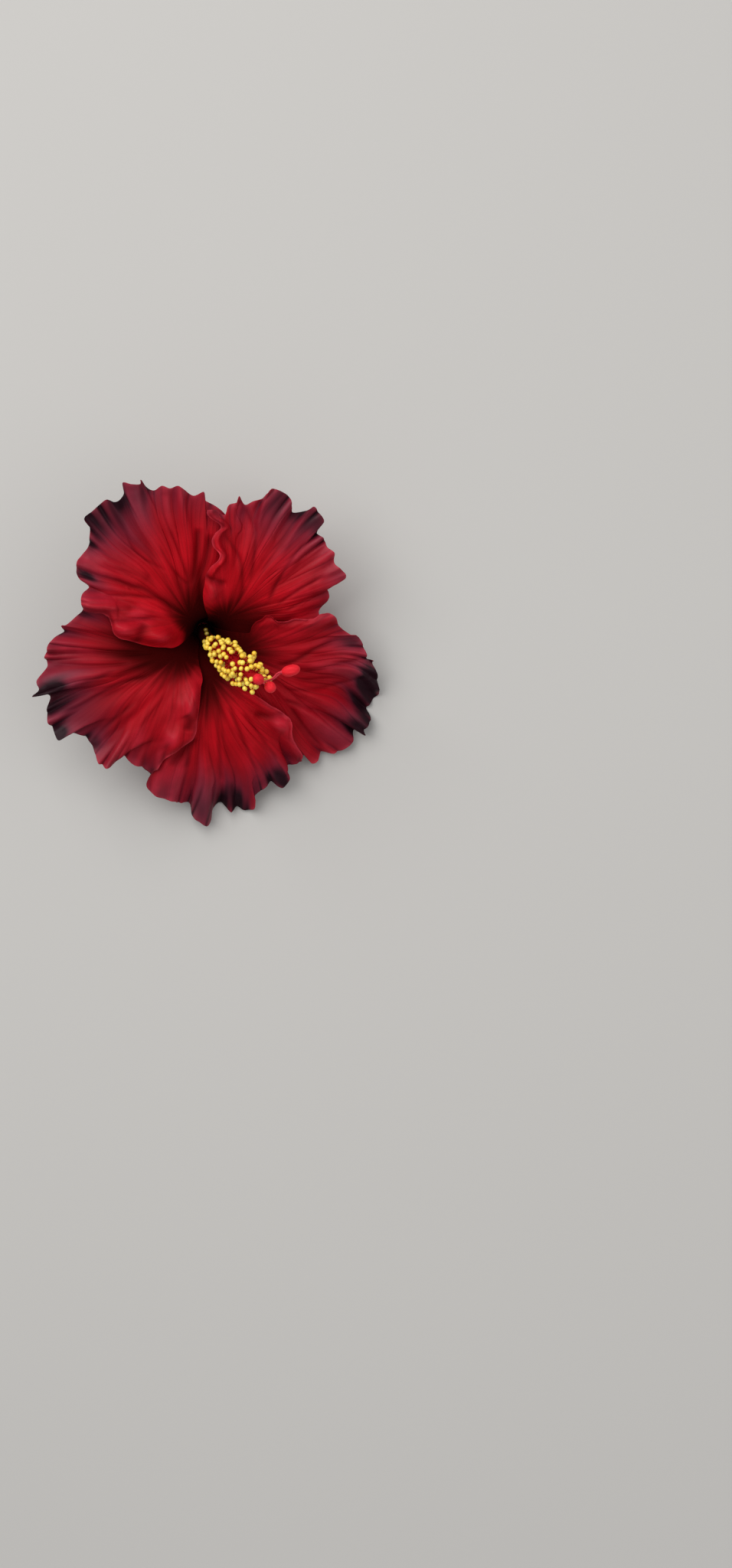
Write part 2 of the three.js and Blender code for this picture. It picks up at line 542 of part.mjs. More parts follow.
/** Ovary, style and five branches, each with its stigma. */
function pistil() {
  const fork = beyondColumn(1, STYLE_EXPOSED);
  const style = [
    sweep(columnPath, COLUMN_RINGS, STYLE_SIDES, () => STYLE_RADIUS),
    rod(beyondColumn(0, OVARY.radius / 2), columnPath.getPoint(0), STYLE_RADIUS, STYLE_SIDES),
    rod(columnPath.getPoint(1), fork, STYLE_RADIUS, STYLE_SIDES),
  ];
  const half = (OVARY.top - OVARY.bottom) / 2;
  const ovary = new THREE.SphereGeometry(OVARY.radius, OVARY_MESH.sides, OVARY_MESH.rings)
    .scale(1, 1, half / OVARY.radius).translate(0, 0, OVARY.bottom + half);
  const branches = STIGMAS.flatMap(([from, to]) => {
    const [base, tip] = [alongSight(...from), alongSight(...to)];
    const axis = tip.clone().sub(base);
    const approach = base.clone().addScaledVector(axis.clone().normalize(), -BRANCH_APPROACH);
    const arch = fork.clone().lerp(approach, 0.5).addScaledVector(columnPath.getTangent(1), BRANCH_ARCH);
    const sunk = base.clone().addScaledVector(axis, STIGMA_SINK);
    const stem = new THREE.CatmullRomCurve3([fork, arch, approach, sunk]);
    const bulb = new THREE.LineCurve3(base, tip);
    const ellipse = (s) => Math.sqrt(Math.max(STIGMA_END, 1 - (2 * s - 1) ** 2));
    const egg = (s) => STIGMA_RADIUS * ellipse(s) * lerp(STIGMA_BASE, 1, s);
    return [
      sweep(stem, BRANCH_MESH.rings, BRANCH_MESH.sides, () => BRANCH_RADIUS),
      sweep(bulb, STIGMA_MESH.rings, STIGMA_MESH.sides, egg),
    ];
  });
  return geometryFrom(wasm.Manifold.union([...style, ovary, ...branches].map(solidOf)));
}

/** A cup whose rim rises to five pointed lobes, round the petals' claws. */
function calyx() {
  const ring = (radiusOf, heightOf) => Array.from({ length: CALYX_COLUMNS }, (_, k) => {
    const turn = (k / CALYX_COLUMNS) * 360;
    const lobe = Math.abs(((turn * CALYX_LOBES) / 360 + 0.5) % 1 - 0.5) * 2; // 0 at a tip, 1 in a notch
    const height = heightOf(lobe);
    const r = radiusOf(height);
    return new THREE.Vector3(r * Math.cos(radians(turn)), r * Math.sin(radians(turn)), height);
  });
  const inner = (height) => {
    const funnel = lookUp(Math.max(height, FUNNEL[0][1]), funnelHeights, funnelRadii);
    return lerp(CALYX_FLOOR_RADIUS, funnel + CALYX_CLEARANCE, smoothstep(height, ...CALYX_FLARE));
  };
  const top = (lobe) => {
    const sunk = Math.sin((lobe * Math.PI) / 2) ** CALYX_LOBE_POWER;
    return lerp(CALYX_TIP_HEIGHT, CALYX_NOTCH_HEIGHT, sunk);
  };
  const wallRings = (radiusOf) => CALYX_STEPS.map((s) => (
    ring(radiusOf, (lobe) => lerp(CALYX_FLOOR, top(lobe), s))
  ));
  const underside = ring(() => CALYX_FOOT_RADIUS, () => CALYX_FLOOR - CALYX_WALL);
  const outside = wallRings((height) => inner(height) + CALYX_WALL);
  return loft([underside, ...outside, ...wallRings(inner).reverse()]);
}

/** The cut stub, with a whorl of narrow bractlets round its collar. */
function stalk() {
  const [inset, rise] = STALK_EDGE.cut;
  const [swell, shoulder, crown] = STALK_EDGE.collar;
  const profile = [
    [0, STALK.bottom], [STALK.radius - inset, STALK.bottom], [STALK.radius, STALK.bottom + rise],
    [STALK.radius, STALK.top - swell], [STALK.collar, STALK.top - shoulder],
    [STALK.collar, STALK.top - crown], [0, STALK.top],
  ];
  const outline = profile.map(([r, z]) => new THREE.Vector2(r, z));
  const stub = new THREE.LatheGeometry(outline, STALK_SIDES).rotateX(Math.PI / 2);
  const path = curveThrough(BRACTLET_PATH.map(([r, z]) => [r, 0, z]));
  const width = through(BRACTLET_WIDTHS);
  const bractlet = blade((across, along) => {
    const point = path.getPointAt(along);
    point.y = width(along) * (across - 0.5);
    return point;
  }, BRACTLET_COLUMNS, BRACTLET_RINGS, BRACTLET_THICKNESS);
  const whorl = Array.from({ length: BRACTLET_COUNT }, (_, k) => (
    solidOf(bractlet.clone().rotateZ((2 * Math.PI * (k + BRACTLET_TURN)) / BRACTLET_COUNT))
  ));
  return geometryFrom(wasm.Manifold.union([solidOf(stub), ...whorl]));
}

// ---- the flower ----

const petalRed = new THREE.MeshStandardMaterial({ color: 0xa80f1c, roughness: 0.6, metalness: 0 });
const antherYellow = new THREE.MeshStandardMaterial({ color: 0xe8c52a, roughness: 0.7, metalness: 0 });
const stigmaRed = new THREE.MeshStandardMaterial({ color: 0xd01626, roughness: 0.4, metalness: 0 });
const calyxGreen = new THREE.MeshStandardMaterial({ color: 0x5c7a2e, roughness: 0.6, metalness: 0 });
const stalkGreen = new THREE.MeshStandardMaterial({ color: 0x48662a, roughness: 0.65, metalness: 0 });

const flower = new THREE.Group();

function place(name, geometry, material) {
  const mesh = new THREE.Mesh(geometry, material);
  mesh.name = name;
  flower.add(mesh);
}

for (const [name, petal] of Object.entries(PETALS)) {
  place(name, blade(petalSurface(petal), petal.margin.length - 1, PETAL_ROWS, PETAL_THICKNESS), petalRed);
}
place('staminal_column', staminalColumn(), antherYellow);
place('pistil', pistil(), stigmaRed);
place('calyx', calyx(), calyxGreen);
place('stalk', stalk(), stalkGreen);

const leanAxis = new THREE.Vector3(-Math.sin(radians(LEAN_AZIMUTH)), Math.cos(radians(LEAN_AZIMUTH)), 0);
flower.quaternion.setFromAxisAngle(leanAxis, radians(LEAN));
flower.position.set(...RECEPTACLE);

const hibiscus = new THREE.Group();
hibiscus.add(flower);

export default hibiscus;
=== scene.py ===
"""Looks of a picked hibiscus bloom that lies face up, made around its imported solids.

The flower is drawn in its own frame, in millimetres and degrees: the origin is where the petals'
claws begin, +Z runs out of the throat and azimuth 0 is +X. Rest leans it over and brings it to
the part's frame, in metres. Outlines, folds and stains are drawn on the plane of Sight, which lies
square to the line of sight.
"""

from __future__ import annotations

import logging
from dataclasses import dataclass, field
from enum import Enum, IntEnum
from typing import Any, Sequence

import bpy
import numpy as np
from mathutils import Matrix, Vector

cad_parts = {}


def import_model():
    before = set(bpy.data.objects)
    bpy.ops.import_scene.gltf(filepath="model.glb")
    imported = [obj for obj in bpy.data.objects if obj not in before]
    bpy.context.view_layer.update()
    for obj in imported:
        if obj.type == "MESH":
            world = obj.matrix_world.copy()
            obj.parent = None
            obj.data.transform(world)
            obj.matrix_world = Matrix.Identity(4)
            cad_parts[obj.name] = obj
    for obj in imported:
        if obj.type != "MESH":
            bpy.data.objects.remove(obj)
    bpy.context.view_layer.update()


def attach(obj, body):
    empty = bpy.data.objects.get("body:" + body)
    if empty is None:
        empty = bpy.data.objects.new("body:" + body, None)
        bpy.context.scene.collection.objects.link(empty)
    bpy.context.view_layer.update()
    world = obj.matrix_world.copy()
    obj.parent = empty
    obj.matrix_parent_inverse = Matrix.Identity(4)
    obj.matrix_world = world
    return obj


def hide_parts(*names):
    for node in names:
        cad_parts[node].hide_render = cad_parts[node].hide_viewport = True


Array = np.ndarray
Arrays = tuple[np.ndarray, ...]
Pair = tuple[float, float]
Triple = tuple[float, float, float]
Colour = Triple
Pairs = tuple[tuple[float, ...], ...]
Pieces = list[bpy.types.Object]

MILLIMETRE = 0.001
FLOW = "flow"  # the UV map that runs with a piece's growth
LATTICE = 256  # a random field repeats after this many units
ASKEW = (0.31, 0.93, 0.2)  # a direction that no path runs along
POLE_GAP = 6  # degrees between an egg's pole and its first ring
EDGE_ROUND = 3  # a blade's edge stands out by its thickness over this
TINY = 1e-9  # keeps a divisor from zero

log = logging.getLogger("hibiscus")


class Slot(str, Enum):
    """The record's material slots."""

    PETAL = "petal"
    ANTHER = "anther"
    STYLE = "style"
    CALYX = "calyx"
    STALK = "stalk"


class Mark(str, Enum):
    """What a vertex attribute says about a petal, 0 for none and 1 for full."""

    # Painted shade in grooves, creases and folds, and along neighbours' edges that shade the petal.
    GROOVE_SHADE = "groove"
    # Painted rosy sheen on ridges, puffs, the frill's crests and the sheen spots.
    RIDGE_SHEEN = "ridge"
    VEIN = "vein"
    # Real stains, with painted shade laid into the troughs near the margin.
    STAIN_AND_SHADE = "stain"
    # The real dark eye, widened by painted shade; on the anthers and the calyx, painted shade deep in the
    # throat.
    EYE_AND_SHADE = "eye"
    # Painted highlight along the free edges.
    EDGE_HIGHLIGHT = "edge"
    # Each piece's own tone; on the petals a darkening that is partly deeper red and partly painted shade,
    # and on the tube and filaments painted shade low in the throat.
    TONE_AND_SHADE = "tone"


class Seed(IntEnum):
    """Which random draw each detail takes. A petal adds its azimuth to the last five."""

    STAMENS = 11
    EYE_AND_SHADE = 15
    TORN = 21
    TORN_FINE = 22
    ANTHERS = 23
    CRIMP = 31
    STIGMA = 41
    CALYX = 51
    STALK = 61
    SWING = 300
    FOLD = 400
    GROOVE_SHADE = 407
    FRILL = 409
    WANDER = 500


# ---- smooth functions ----


def unit(vector: Sequence[float]) -> Array:
    """The vector at length 1."""
    values = np.asarray(vector, float)
    return values / np.linalg.norm(values)


def smooth(x: Array, low: float, high: float) -> Array:
    """0 below low, 1 above high, and 3 s^2 - 2 s^3 between."""
    s = np.clip((np.asarray(x, float) - low) / (high - low), 0, 1)
    return s * s * (3 - 2 * s)


def mix(a: Array, b: Array, share: Array) -> Array:
    """a where share is 0, b where it is 1."""
    return a + (b - a) * share


def bell(x: Array) -> Array:
    """The bell curve, 1 at 0 and 0.37 at 1."""
    return np.exp(-np.square(x))


def cos_deg(angle: Array) -> Array:
    """Cosine of an angle in degrees."""
    return np.cos(np.radians(angle))


def sin_deg(angle: Array) -> Array:
    """Sine of an angle in degrees."""
    return np.sin(np.radians(angle))


def turns(count: int) -> Array:
    """Evenly spaced degrees round a circle, from 0."""
    return np.linspace(0, 360, count, endpoint=False)


def polar(r: Array, azimuth: Array, z: Array) -> Array:
    """Points at these radii, azimuths and heights, with X, Y and Z in one more axis."""
    return np.stack(np.broadcast_arrays(r * cos_deg(azimuth), r * sin_deg(azimuth), z), -1)


def spokes(first: Array, second: Array, turn: Array) -> Array:
    """Directions between two rows of directions: for each pair one at each of these degrees."""
    return first[:, None] * cos_deg(turn)[:, None] + second[:, None] * sin_deg(turn)[:, None]


@dataclass(frozen=True)
class Knots:
    """A smooth function through (x, y) knots in rising order, level at and beyond its ends.

    Between two knots it is the smoothstep blend of the lines that leave them, each with the slope
    between its knot's neighbours, or level at an end.
    """

    knots: Pairs

    def __call__(self, x: Array) -> Array:
        """Values of the function.

        Args:
            x: places, an array of any shape.

        Returns:
            The values, in the same shape.
        """
        xs, ys = np.array(self.knots, float).T
        slopes = np.zeros(len(xs))
        slopes[1:-1] = (ys[2:] - ys[:-2]) / (xs[2:] - xs[:-2])
        x = np.clip(x, xs[0], xs[-1])
        i = np.clip(np.searchsorted(xs, x, side="right") - 1, 0, len(xs) - 2)
        span = xs[i + 1] - xs[i]
        s = (x - xs[i]) / span
        a = ys[i] + slopes[i] * span * s
        b = ys[i + 1] - slopes[i + 1] * span * (1 - s)
        return mix(a, b, s * s * (3 - 2 * s))


@dataclass(frozen=True)
class TurnKnots:
    """A smooth function of an azimuth through knots that repeat every 360 degrees."""

    knots: Pairs

    def __call__(self, azimuth: Array) -> Array:
        """Values of the function at azimuths in degrees."""
        repeated = tuple((x + turn, y) for turn in (-360, 0, 360) for x, y in self.knots)
        return Knots(repeated)(np.mod(np.asarray(azimuth) + 180, 360) - 180)


@dataclass(frozen=True)
class Spline:
    """An evenly timed Catmull-Rom curve through points, as a function of 0 to 1."""

    points: Pairs

    def __call__(self, s: Array) -> Array:
        """Points of the curve.

        Args:
            s: times from 0 to 1.

        Returns:
            The points, with one more axis than s.
        """
        points = np.array(self.points, float)
        last = len(points) - 1
        place = np.clip(np.asarray(s, float), 0, 1) * last
        i = np.minimum(place.astype(int), last - 1)
        w = (place - i)[..., None]
        p0, p1 = points[np.maximum(i - 1, 0)], points[i]
        p2, p3 = points[i + 1], points[np.minimum(i + 2, last)]
        v0, v1 = (p2 - p0) / 2, (p3 - p1) / 2
        cubic = (2 * p1 - 2 * p2 + v0 + v1) * w**3
        return cubic + (3 * p2 - 3 * p1 - 2 * v0 - v1) * w**2 + v0 * w + p1

    def evenly(self, s: Array, samples: int = 400) -> Array:
        """Points of the curve by length.

        Args:
            s: parts of its length.
            samples: how many points measure it.

        Returns:
            The points, with one more axis than s.
        """
        fine = self(np.linspace(0, 1, samples))
        steps = np.linalg.norm(np.diff(fine, axis=0), axis=1)
        length = np.r_[0, np.cumsum(steps)]
        place = np.asarray(s, float) * length[-1]
        columns = [np.interp(place, length, fine[:, k]) for k in range(fine.shape[1])]
        return np.stack(columns, axis=-1)


def field_noise(x: Array, y: Array, seed: int) -> Array:
    """A smooth random field from -1 to 1, with one random value per unit square.

    Args:
        x: first coordinate.
        y: second coordinate.
        seed: which of the fields.

    Returns:
        The field, blended by smoothstep between the corners of each square.
    """
    lattice = np.random.default_rng(seed).uniform(-1, 1, (LATTICE, LATTICE))
    i, j = np.floor(x).astype(int), np.floor(y).astype(int)
    u, v = x - i, y - j
    u, v = u * u * (3 - 2 * u), v * v * (3 - 2 * v)
    i, j, i_next, j_next = (k % LATTICE for k in (i, j, i + 1, j + 1))
    near = mix(lattice[i, j], lattice[i_next, j], u)
    far = mix(lattice[i, j_next], lattice[i_next, j_next], u)
    return mix(near, far, v)


# ---- frames ----


@dataclass(frozen=True)
class Rest:
    """How the flower rests: leaned over about its origin, then lifted to its place."""

    lean: float = 25.0
    azimuth: float = -49.0
    receptacle: Triple = (-4.2, 10.0, 9.7)
    softness: float = 0.0003

    def turn(self) -> Array:
        """The lean as a 3 by 3 matrix."""
        axis = Vector((-sin_deg(self.azimuth), cos_deg(self.azimuth), 0))
        return np.array(Matrix.Rotation(np.radians(self.lean), 3, axis))

    def place(self, points: Array) -> Array:
        """Points of the flower's frame, in mm, taken to the part's frame, in metres."""
        return (points @ self.turn().T + np.array(self.receptacle)) * MILLIMETRE

    def press(self, points: Array) -> Array:
        """Placed points with those near the floor pressed flat on it: the height z becomes the
        mean of z and the root of z squared plus the square of a small softness."""
        x, y, z = points.T
        return np.stack([x, y, (z + np.sqrt(z * z + self.softness**2)) / 2], -1)


@dataclass(frozen=True)
class Sight:
    """The plane of the outlines: square to the line of sight, through the axis at one height."""

    toward: Triple = (-0.079, 0.211, 0.974)
    height: float = 20.0
    distance: float = 867.0

    @property
    def frame(self) -> Array:
        """The plane's directions.

        Returns:
            Rows: its right, its up, and the way to the eye.
        """
        eye = unit(self.toward)
        right = unit(np.array([1, 0, 0]) - eye[0] * eye)
        return np.array([right, np.cross(eye, right), eye])

    def lift(self, seen: Array, height: Array) -> Array:
        """Points of this height that are seen at these places of the plane.

        Args:
            seen: X, Y on the plane, in the last axis.
            height: height of each point in the flower's frame.

        Returns:
            Points in the flower's frame.
        """
        right, up, eye = self.frame
        drift = seen[..., 0] * right[2] + seen[..., 1] * up[2]
        rise = height - self.height
        scale = 1 - (rise - drift) / eye[2] / self.distance
        depth = (rise - scale * drift) / eye[2]
        flat = seen[..., :1] * right + seen[..., 1:] * up
        return np.array([0, 0, self.height]) + flat * scale[..., None] + depth[..., None] * eye

    def seen(self, points: Array) -> Array:
        """Where points of the flower's frame are seen on the plane."""
        local = (points - np.array([0, 0, self.height])) @ self.frame.T
        return local[..., :2] / (1 - local[..., 2:] / self.distance)


# ---- meshes ----


@dataclass
class Skin:
    """Vertices, faces and values per vertex of one or more closed skins, in the flower's frame."""

    points: Array
    faces: list[Array]
    values: dict[Mark, Array] = field(default_factory=dict)
    flow: Array | None = None

    @staticmethod
    def joined(skins: Sequence["Skin"]) -> "Skin":
        """Several skins as one, with their values side by side."""
        starts = np.cumsum([0] + [len(s.points) for s in skins[:-1]])
        return Skin(
            np.concatenate([s.points for s in skins]),
            [f + start for s, start in zip(skins, starts) for f in s.faces],
            {k: np.concatenate([s.values[k] for s in skins]) for k in skins[0].values},
            np.concatenate([s.flow for s in skins]),
        )


def grid_faces(rows: int, columns: int, wrap: bool = False) -> Array:
    """Quads of a grid of vertices in row order, each counter-clockwise from the side where
    columns run to the right and rows run up.

    Args:
        rows: their count.
        columns: their count.
        wrap: joins the last column to the first.

    Returns:
        Four vertex numbers for each face.
    """
    j, i = np.meshgrid(np.arange(rows - 1), np.arange(columns - (not wrap)), indexing="ij")
    a, b = j * columns + i, j * columns + (i + 1) % columns
    return np.stack([a, b, b + columns, a + columns], -1).reshape(-1, 4)


def face_normals(grid: Array) -> Array:
    """Unit normals of a grid of points: the change along its rows times that up its columns."""
    normal = np.cross(np.gradient(grid, axis=1), np.gradient(grid, axis=0))
    return normal / np.maximum(np.linalg.norm(normal, axis=-1, keepdims=True), TINY)


def blade(middle: Array, thickness: Array, values: dict[Mark, Array], flow: Array) -> Skin:
    """A closed blade about a middle surface, with a rounded edge all round.

    Args:
        middle: grid of points, rows by columns.
        thickness: at each of them.
        values: at each of them, by mark.
        flow: the flow map's coordinates at each of them.

    Returns:
        The blade, whose faces stand half the thickness off the middle surface.
    """
    rows, columns = middle.shape[:2]
    index = np.arange(rows * columns).reshape(rows, columns)
    half = face_normals(middle) * thickness[..., None] / 2
    rim = np.r_[index[0, :-1], index[:-1, -1], index[-1, :0:-1], index[:0:-1, 0]]
    inner = index.copy()
    inner[0], inner[-1] = index[1], index[-2]
    inner[:, 0], inner[:, -1] = inner[:, 1], inner[:, -2]
    flat = middle.reshape(-1, 3)
    out = flat[rim] - flat[inner.ravel()[rim]]
    out /= np.linalg.norm(out, axis=1, keepdims=True)
    edge = flat[rim] + out * thickness.ravel()[rim, None] / EDGE_ROUND
    count, loop = rows * columns, np.arange(len(rim))
    after = np.roll(loop, -1)
    top = grid_faces(rows, columns)
    bottom = top[:, ::-1] + count
    edge_at = 2 * count + loop
    lower = np.stack([rim + count, rim[after] + count, edge_at[after], edge_at], axis=1)
    upper = np.stack([edge_at, edge_at[after], rim[after], rim], axis=1)
    points = np.concatenate([(middle + half).reshape(-1, 3), (middle - half).reshape(-1, 3), edge])
    spread = {}
    for name, value in values.items():
        plain = value.ravel()
        spread[name] = np.concatenate([plain, plain, plain[rim]])
    uv = flow.reshape(-1, 2)
    return Skin(points, [top, bottom, lower, upper], spread, np.concatenate([uv, uv, uv[rim]]))


def loft(rings: Array, value: float = 0.0) -> Skin:
    """A closed skin over rings of points, each ring counter-clockwise as seen from the last one,
    with a pole at the middle of the first and of the last ring.

    Args:
        rings: points, rings by sides.
        value: its tone.

    Returns:
        The skin, whose flow runs round the rings and from first to last.
    """
    count, sides = rings.shape[:2]
    poles = rings[[0, -1]].mean(axis=1)
    points = np.concatenate([rings.reshape(-1, 3), poles])
    k = np.arange(sides)
    following, base, first = (k + 1) % sides, (count - 1) * sides, count * sides
    start = np.stack([np.full(sides, first), following, k], axis=1)
    end = np.stack([np.full(sides, first + 1), base + k, base + following], axis=1)
    j, i = np.meshgrid(np.linspace(0, 1, count), np.abs(k / sides * 2 - 1), indexing="ij")
    flow = np.concatenate([np.stack([i, j], -1).reshape(-1, 2), [[0.5, 0], [0.5, 1]]])
    tone = {Mark.TONE_AND_SHADE: np.full(len(points), value)}
    return Skin(points, [grid_faces(count, sides, wrap=True), start, end], tone, flow)


def path_frames(points: Array, reference: Sequence[float]) -> Arrays:
    """The three directions along a path.

    Args:
        points: the path.
        reference: a direction that the path doesn't run along.

    Returns:
        Tangents, a direction square to them and to the reference, and one square to both.
    """
    tangents = np.gradient(points, axis=0)
    tangents /= np.linalg.norm(tangents, axis=1, keepdims=True)
    first = np.cross(np.broadcast_to(reference, tangents.shape), tangents)
    first /= np.linalg.norm(first, axis=1, keepdims=True)
    return tangents, first, np.cross(tangents, first)


def tube(points: Array, radii: Array, sides: int, value: float = 0.0) -> Skin:
    """A round tube along a path, closed at its ends.

    Args:
        points: the middle line.
        radii: the tube's radius at each point.
        sides: points round the tube.
        value: its tone.

    Returns:
        The skin: circles square to the path.
    """
    _, first, second = path_frames(points, ASKEW)
    circle = spokes(first, second, turns(sides))
    return loft(points[:, None] + circle * np.asarray(radii)[:, None, None], value)


def egg_radii(count: int, radius: float, fullness: float = 0.86) -> tuple[Array, Array]:
    """An egg's profile: the sine of a turn from pole to pole, fuller towards its far end.

    Args:
        count: how many stations.
        radius: the egg's radius.
        fullness: the near end's part of the far end's breadth.

    Returns:
        Stations from 0 to 1, and the radius at each.
    """
    turn = np.linspace(POLE_GAP, 180 - POLE_GAP, count)
    s = (1 - cos_deg(turn)) / 2
    return s, radius * sin_deg(turn) * mix(fullness, 1, s)


# ---- finishes ----


class Wiring:
    """Adds nodes to a shader tree and joins them."""

    def __init__(self, tree: bpy.types.NodeTree) -> None:
        """Works in this tree."""
        self.tree = tree

    def add(self, kind: str, inputs: dict[Any, Any] | None = None, **settings: Any) -> Any:
        """Adds one node.

        Args:
            kind: the node's type without its ShaderNode prefix.
            inputs: by name or number, sockets to join or values to set.
            settings: the node's own settings.

        Returns:
            The node.
        """
        node = self.tree.nodes.new("ShaderNode" + kind)
        for key, value in settings.items():
            setattr(node, key, value)
        for key, value in (inputs or {}).items():
            self.put(node.inputs[key], value)
        return node

    def put(self, socket: Any, value: Any) -> None:
        """Joins an input to this output, or sets it to this number or colour."""
        if isinstance(value, bpy.types.NodeSocket):
            self.tree.links.new(value, socket)
        else:
            socket.default_value = (*value, 1) if isinstance(value, tuple) else value

    def group(self, tree: bpy.types.NodeTree, **inputs: float) -> Any:
        """Adds a shared group.

        Args:
            tree: the group.
            inputs: its values, by name in lower case.

        Returns:
            The group's mask.
        """
        node = self.tree.nodes.new("ShaderNodeGroup")
        node.node_tree = tree
        for key, value in inputs.items():
            node.inputs[key.capitalize()].default_value = value
        return node.outputs[0]

    def math(self, operation: str, a: Any, b: Any = 0.0, c: Any = 0.0, clamp: bool = False) -> Any:
        """The result of a Math node."""
        return self.add("Math", {0: a, 1: b, 2: c}, operation=operation, use_clamp=clamp).outputs[0]

    def blend(self, share: Any, a: Any, b: Any) -> Any:
        """Colour a where share is 0 and b where it is 1, by a Mix node's inputs 6 and 7."""
        return self.add("Mix", {"Factor": share, 6: a, 7: b}, data_type="RGBA").outputs[2]

    def ramp(self, value: Any, low: Any, high: Any) -> Any:
        """0 below low, 1 above high, and smooth between."""
        limits = {0: value, 1: low, 2: high}
        return self.add("MapRange", limits, interpolation_type="SMOOTHSTEP").outputs[0]

    def mark(self, mark: Mark) -> Any:
        """A vertex attribute's value."""
        return self.add("Attribute", attribute_name=mark.value).outputs["Fac"]


class SharedGroups:
    """The node groups that several finishes use, each one built once."""

    def __init__(self) -> None:
        """Builds the groups."""
        self.streaks = self._streaks()
        self.mottle = self._mottle()
        self.grain = self._grain()

    @staticmethod
    def _open(name: str, floats: dict[str, float]) -> tuple[Wiring, Any, Any]:
        """Starts a new group with one output, Mask.

        Args:
            name: the group's name.
            floats: its inputs' first values, by name.

        Returns:
            The group's wiring, its input node and its output node.
        """
        tree = bpy.data.node_groups.new(name, "ShaderNodeTree")
        for key, value in floats.items():
            socket = tree.interface.new_socket(key, in_out="INPUT", socket_type="NodeSocketFloat")
            socket.default_value = value
        tree.interface.new_socket("Mask", in_out="OUTPUT", socket_type="NodeSocketFloat")
        source, sink = tree.nodes.new("NodeGroupInput"), tree.nodes.new("NodeGroupOutput")
        return Wiring(tree), source, sink

    def _streaks(self) -> bpy.types.NodeTree:
        """Streaks that run with the growth: noise on the flow map, drawn out along it.

        Returns:
            The group.
        """
        w, source, sink = self._open("Streaks", {"Across": 40, "Along": 3, "Low": 0.35, "High": 0.65})
        flow = w.add("UVMap", uv_map=FLOW).outputs[0]
        scale = w.add("CombineXYZ", {0: source.outputs["Across"], 1: source.outputs["Along"], 2: 1.0})
        place = w.add("VectorMath", {0: flow, 1: scale.outputs[0]}, operation="MULTIPLY").outputs[0]
        noise = w.add("TexNoise", {"Vector": place, "Scale": 1.0, "Detail": 3.0, "Distortion": 0.3})
        w.put(sink.inputs[0], w.ramp(noise.outputs[0], source.outputs["Low"], source.outputs["High"]))
        return w.tree

    def _mottle(self) -> bpy.types.NodeTree:
        """Soft clouds: noise on the object's own coordinates.

        Returns:
            The group.
        """
        w, source, sink = self._open("Mottle", {"Scale": 100, "Low": 0.35, "High": 0.65})
        place = w.add("TexCoord").outputs["Object"]
        noise = w.add("TexNoise", {"Vector": place, "Scale": source.outputs["Scale"], "Detail": 4.0})
        w.put(sink.inputs[0], w.ramp(noise.outputs[0], source.outputs["Low"], source.outputs["High"]))
        return w.tree

    def _grain(self) -> bpy.types.NodeTree:
        """The height of a plant's skin: small cells over soft clouds.

        Returns:
            The group.
        """
        w, source, sink = self._open("Skin grain", {"Cells": 4000, "Clouds": 900, "Share": 0.5})
        place = w.add("TexCoord").outputs["Object"]
        cells = w.add("TexVoronoi", {"Vector": place, "Scale": source.outputs["Cells"]}).outputs[0]
        clouds = w.add("TexNoise", {"Vector": place, "Scale": source.outputs["Clouds"], "Detail": 3.0})
        part = w.math("MULTIPLY", cells, source.outputs["Share"])
        w.put(sink.inputs[0], w.math("ADD", part, clouds.outputs[0]))
        return w.tree


def new_object(name: str, data: Any) -> bpy.types.Object:
    """Adds an object to the scene, at the origin.

    Args:
        name: its name.
        data: its mesh, light or camera.

    Returns:
        The object.
    """
    thing = bpy.data.objects.new(name, data)
    bpy.context.scene.collection.objects.link(thing)
    return thing


def shader(name: str, settings: dict[str, Any]) -> tuple[bpy.types.Material, Wiring, Any]:
    """A new material with a Principled BSDF.

    Args:
        name: the material's name.
        settings: constants for the shader's own sockets.

    Returns:
        The material, its wiring and its shader.
    """
    material = bpy.data.materials.new(name)
    material.use_nodes = True
    principled = material.node_tree.nodes["Principled BSDF"]
    for key, value in settings.items():
        principled.inputs[key].default_value = value
    return material, Wiring(material.node_tree), principled


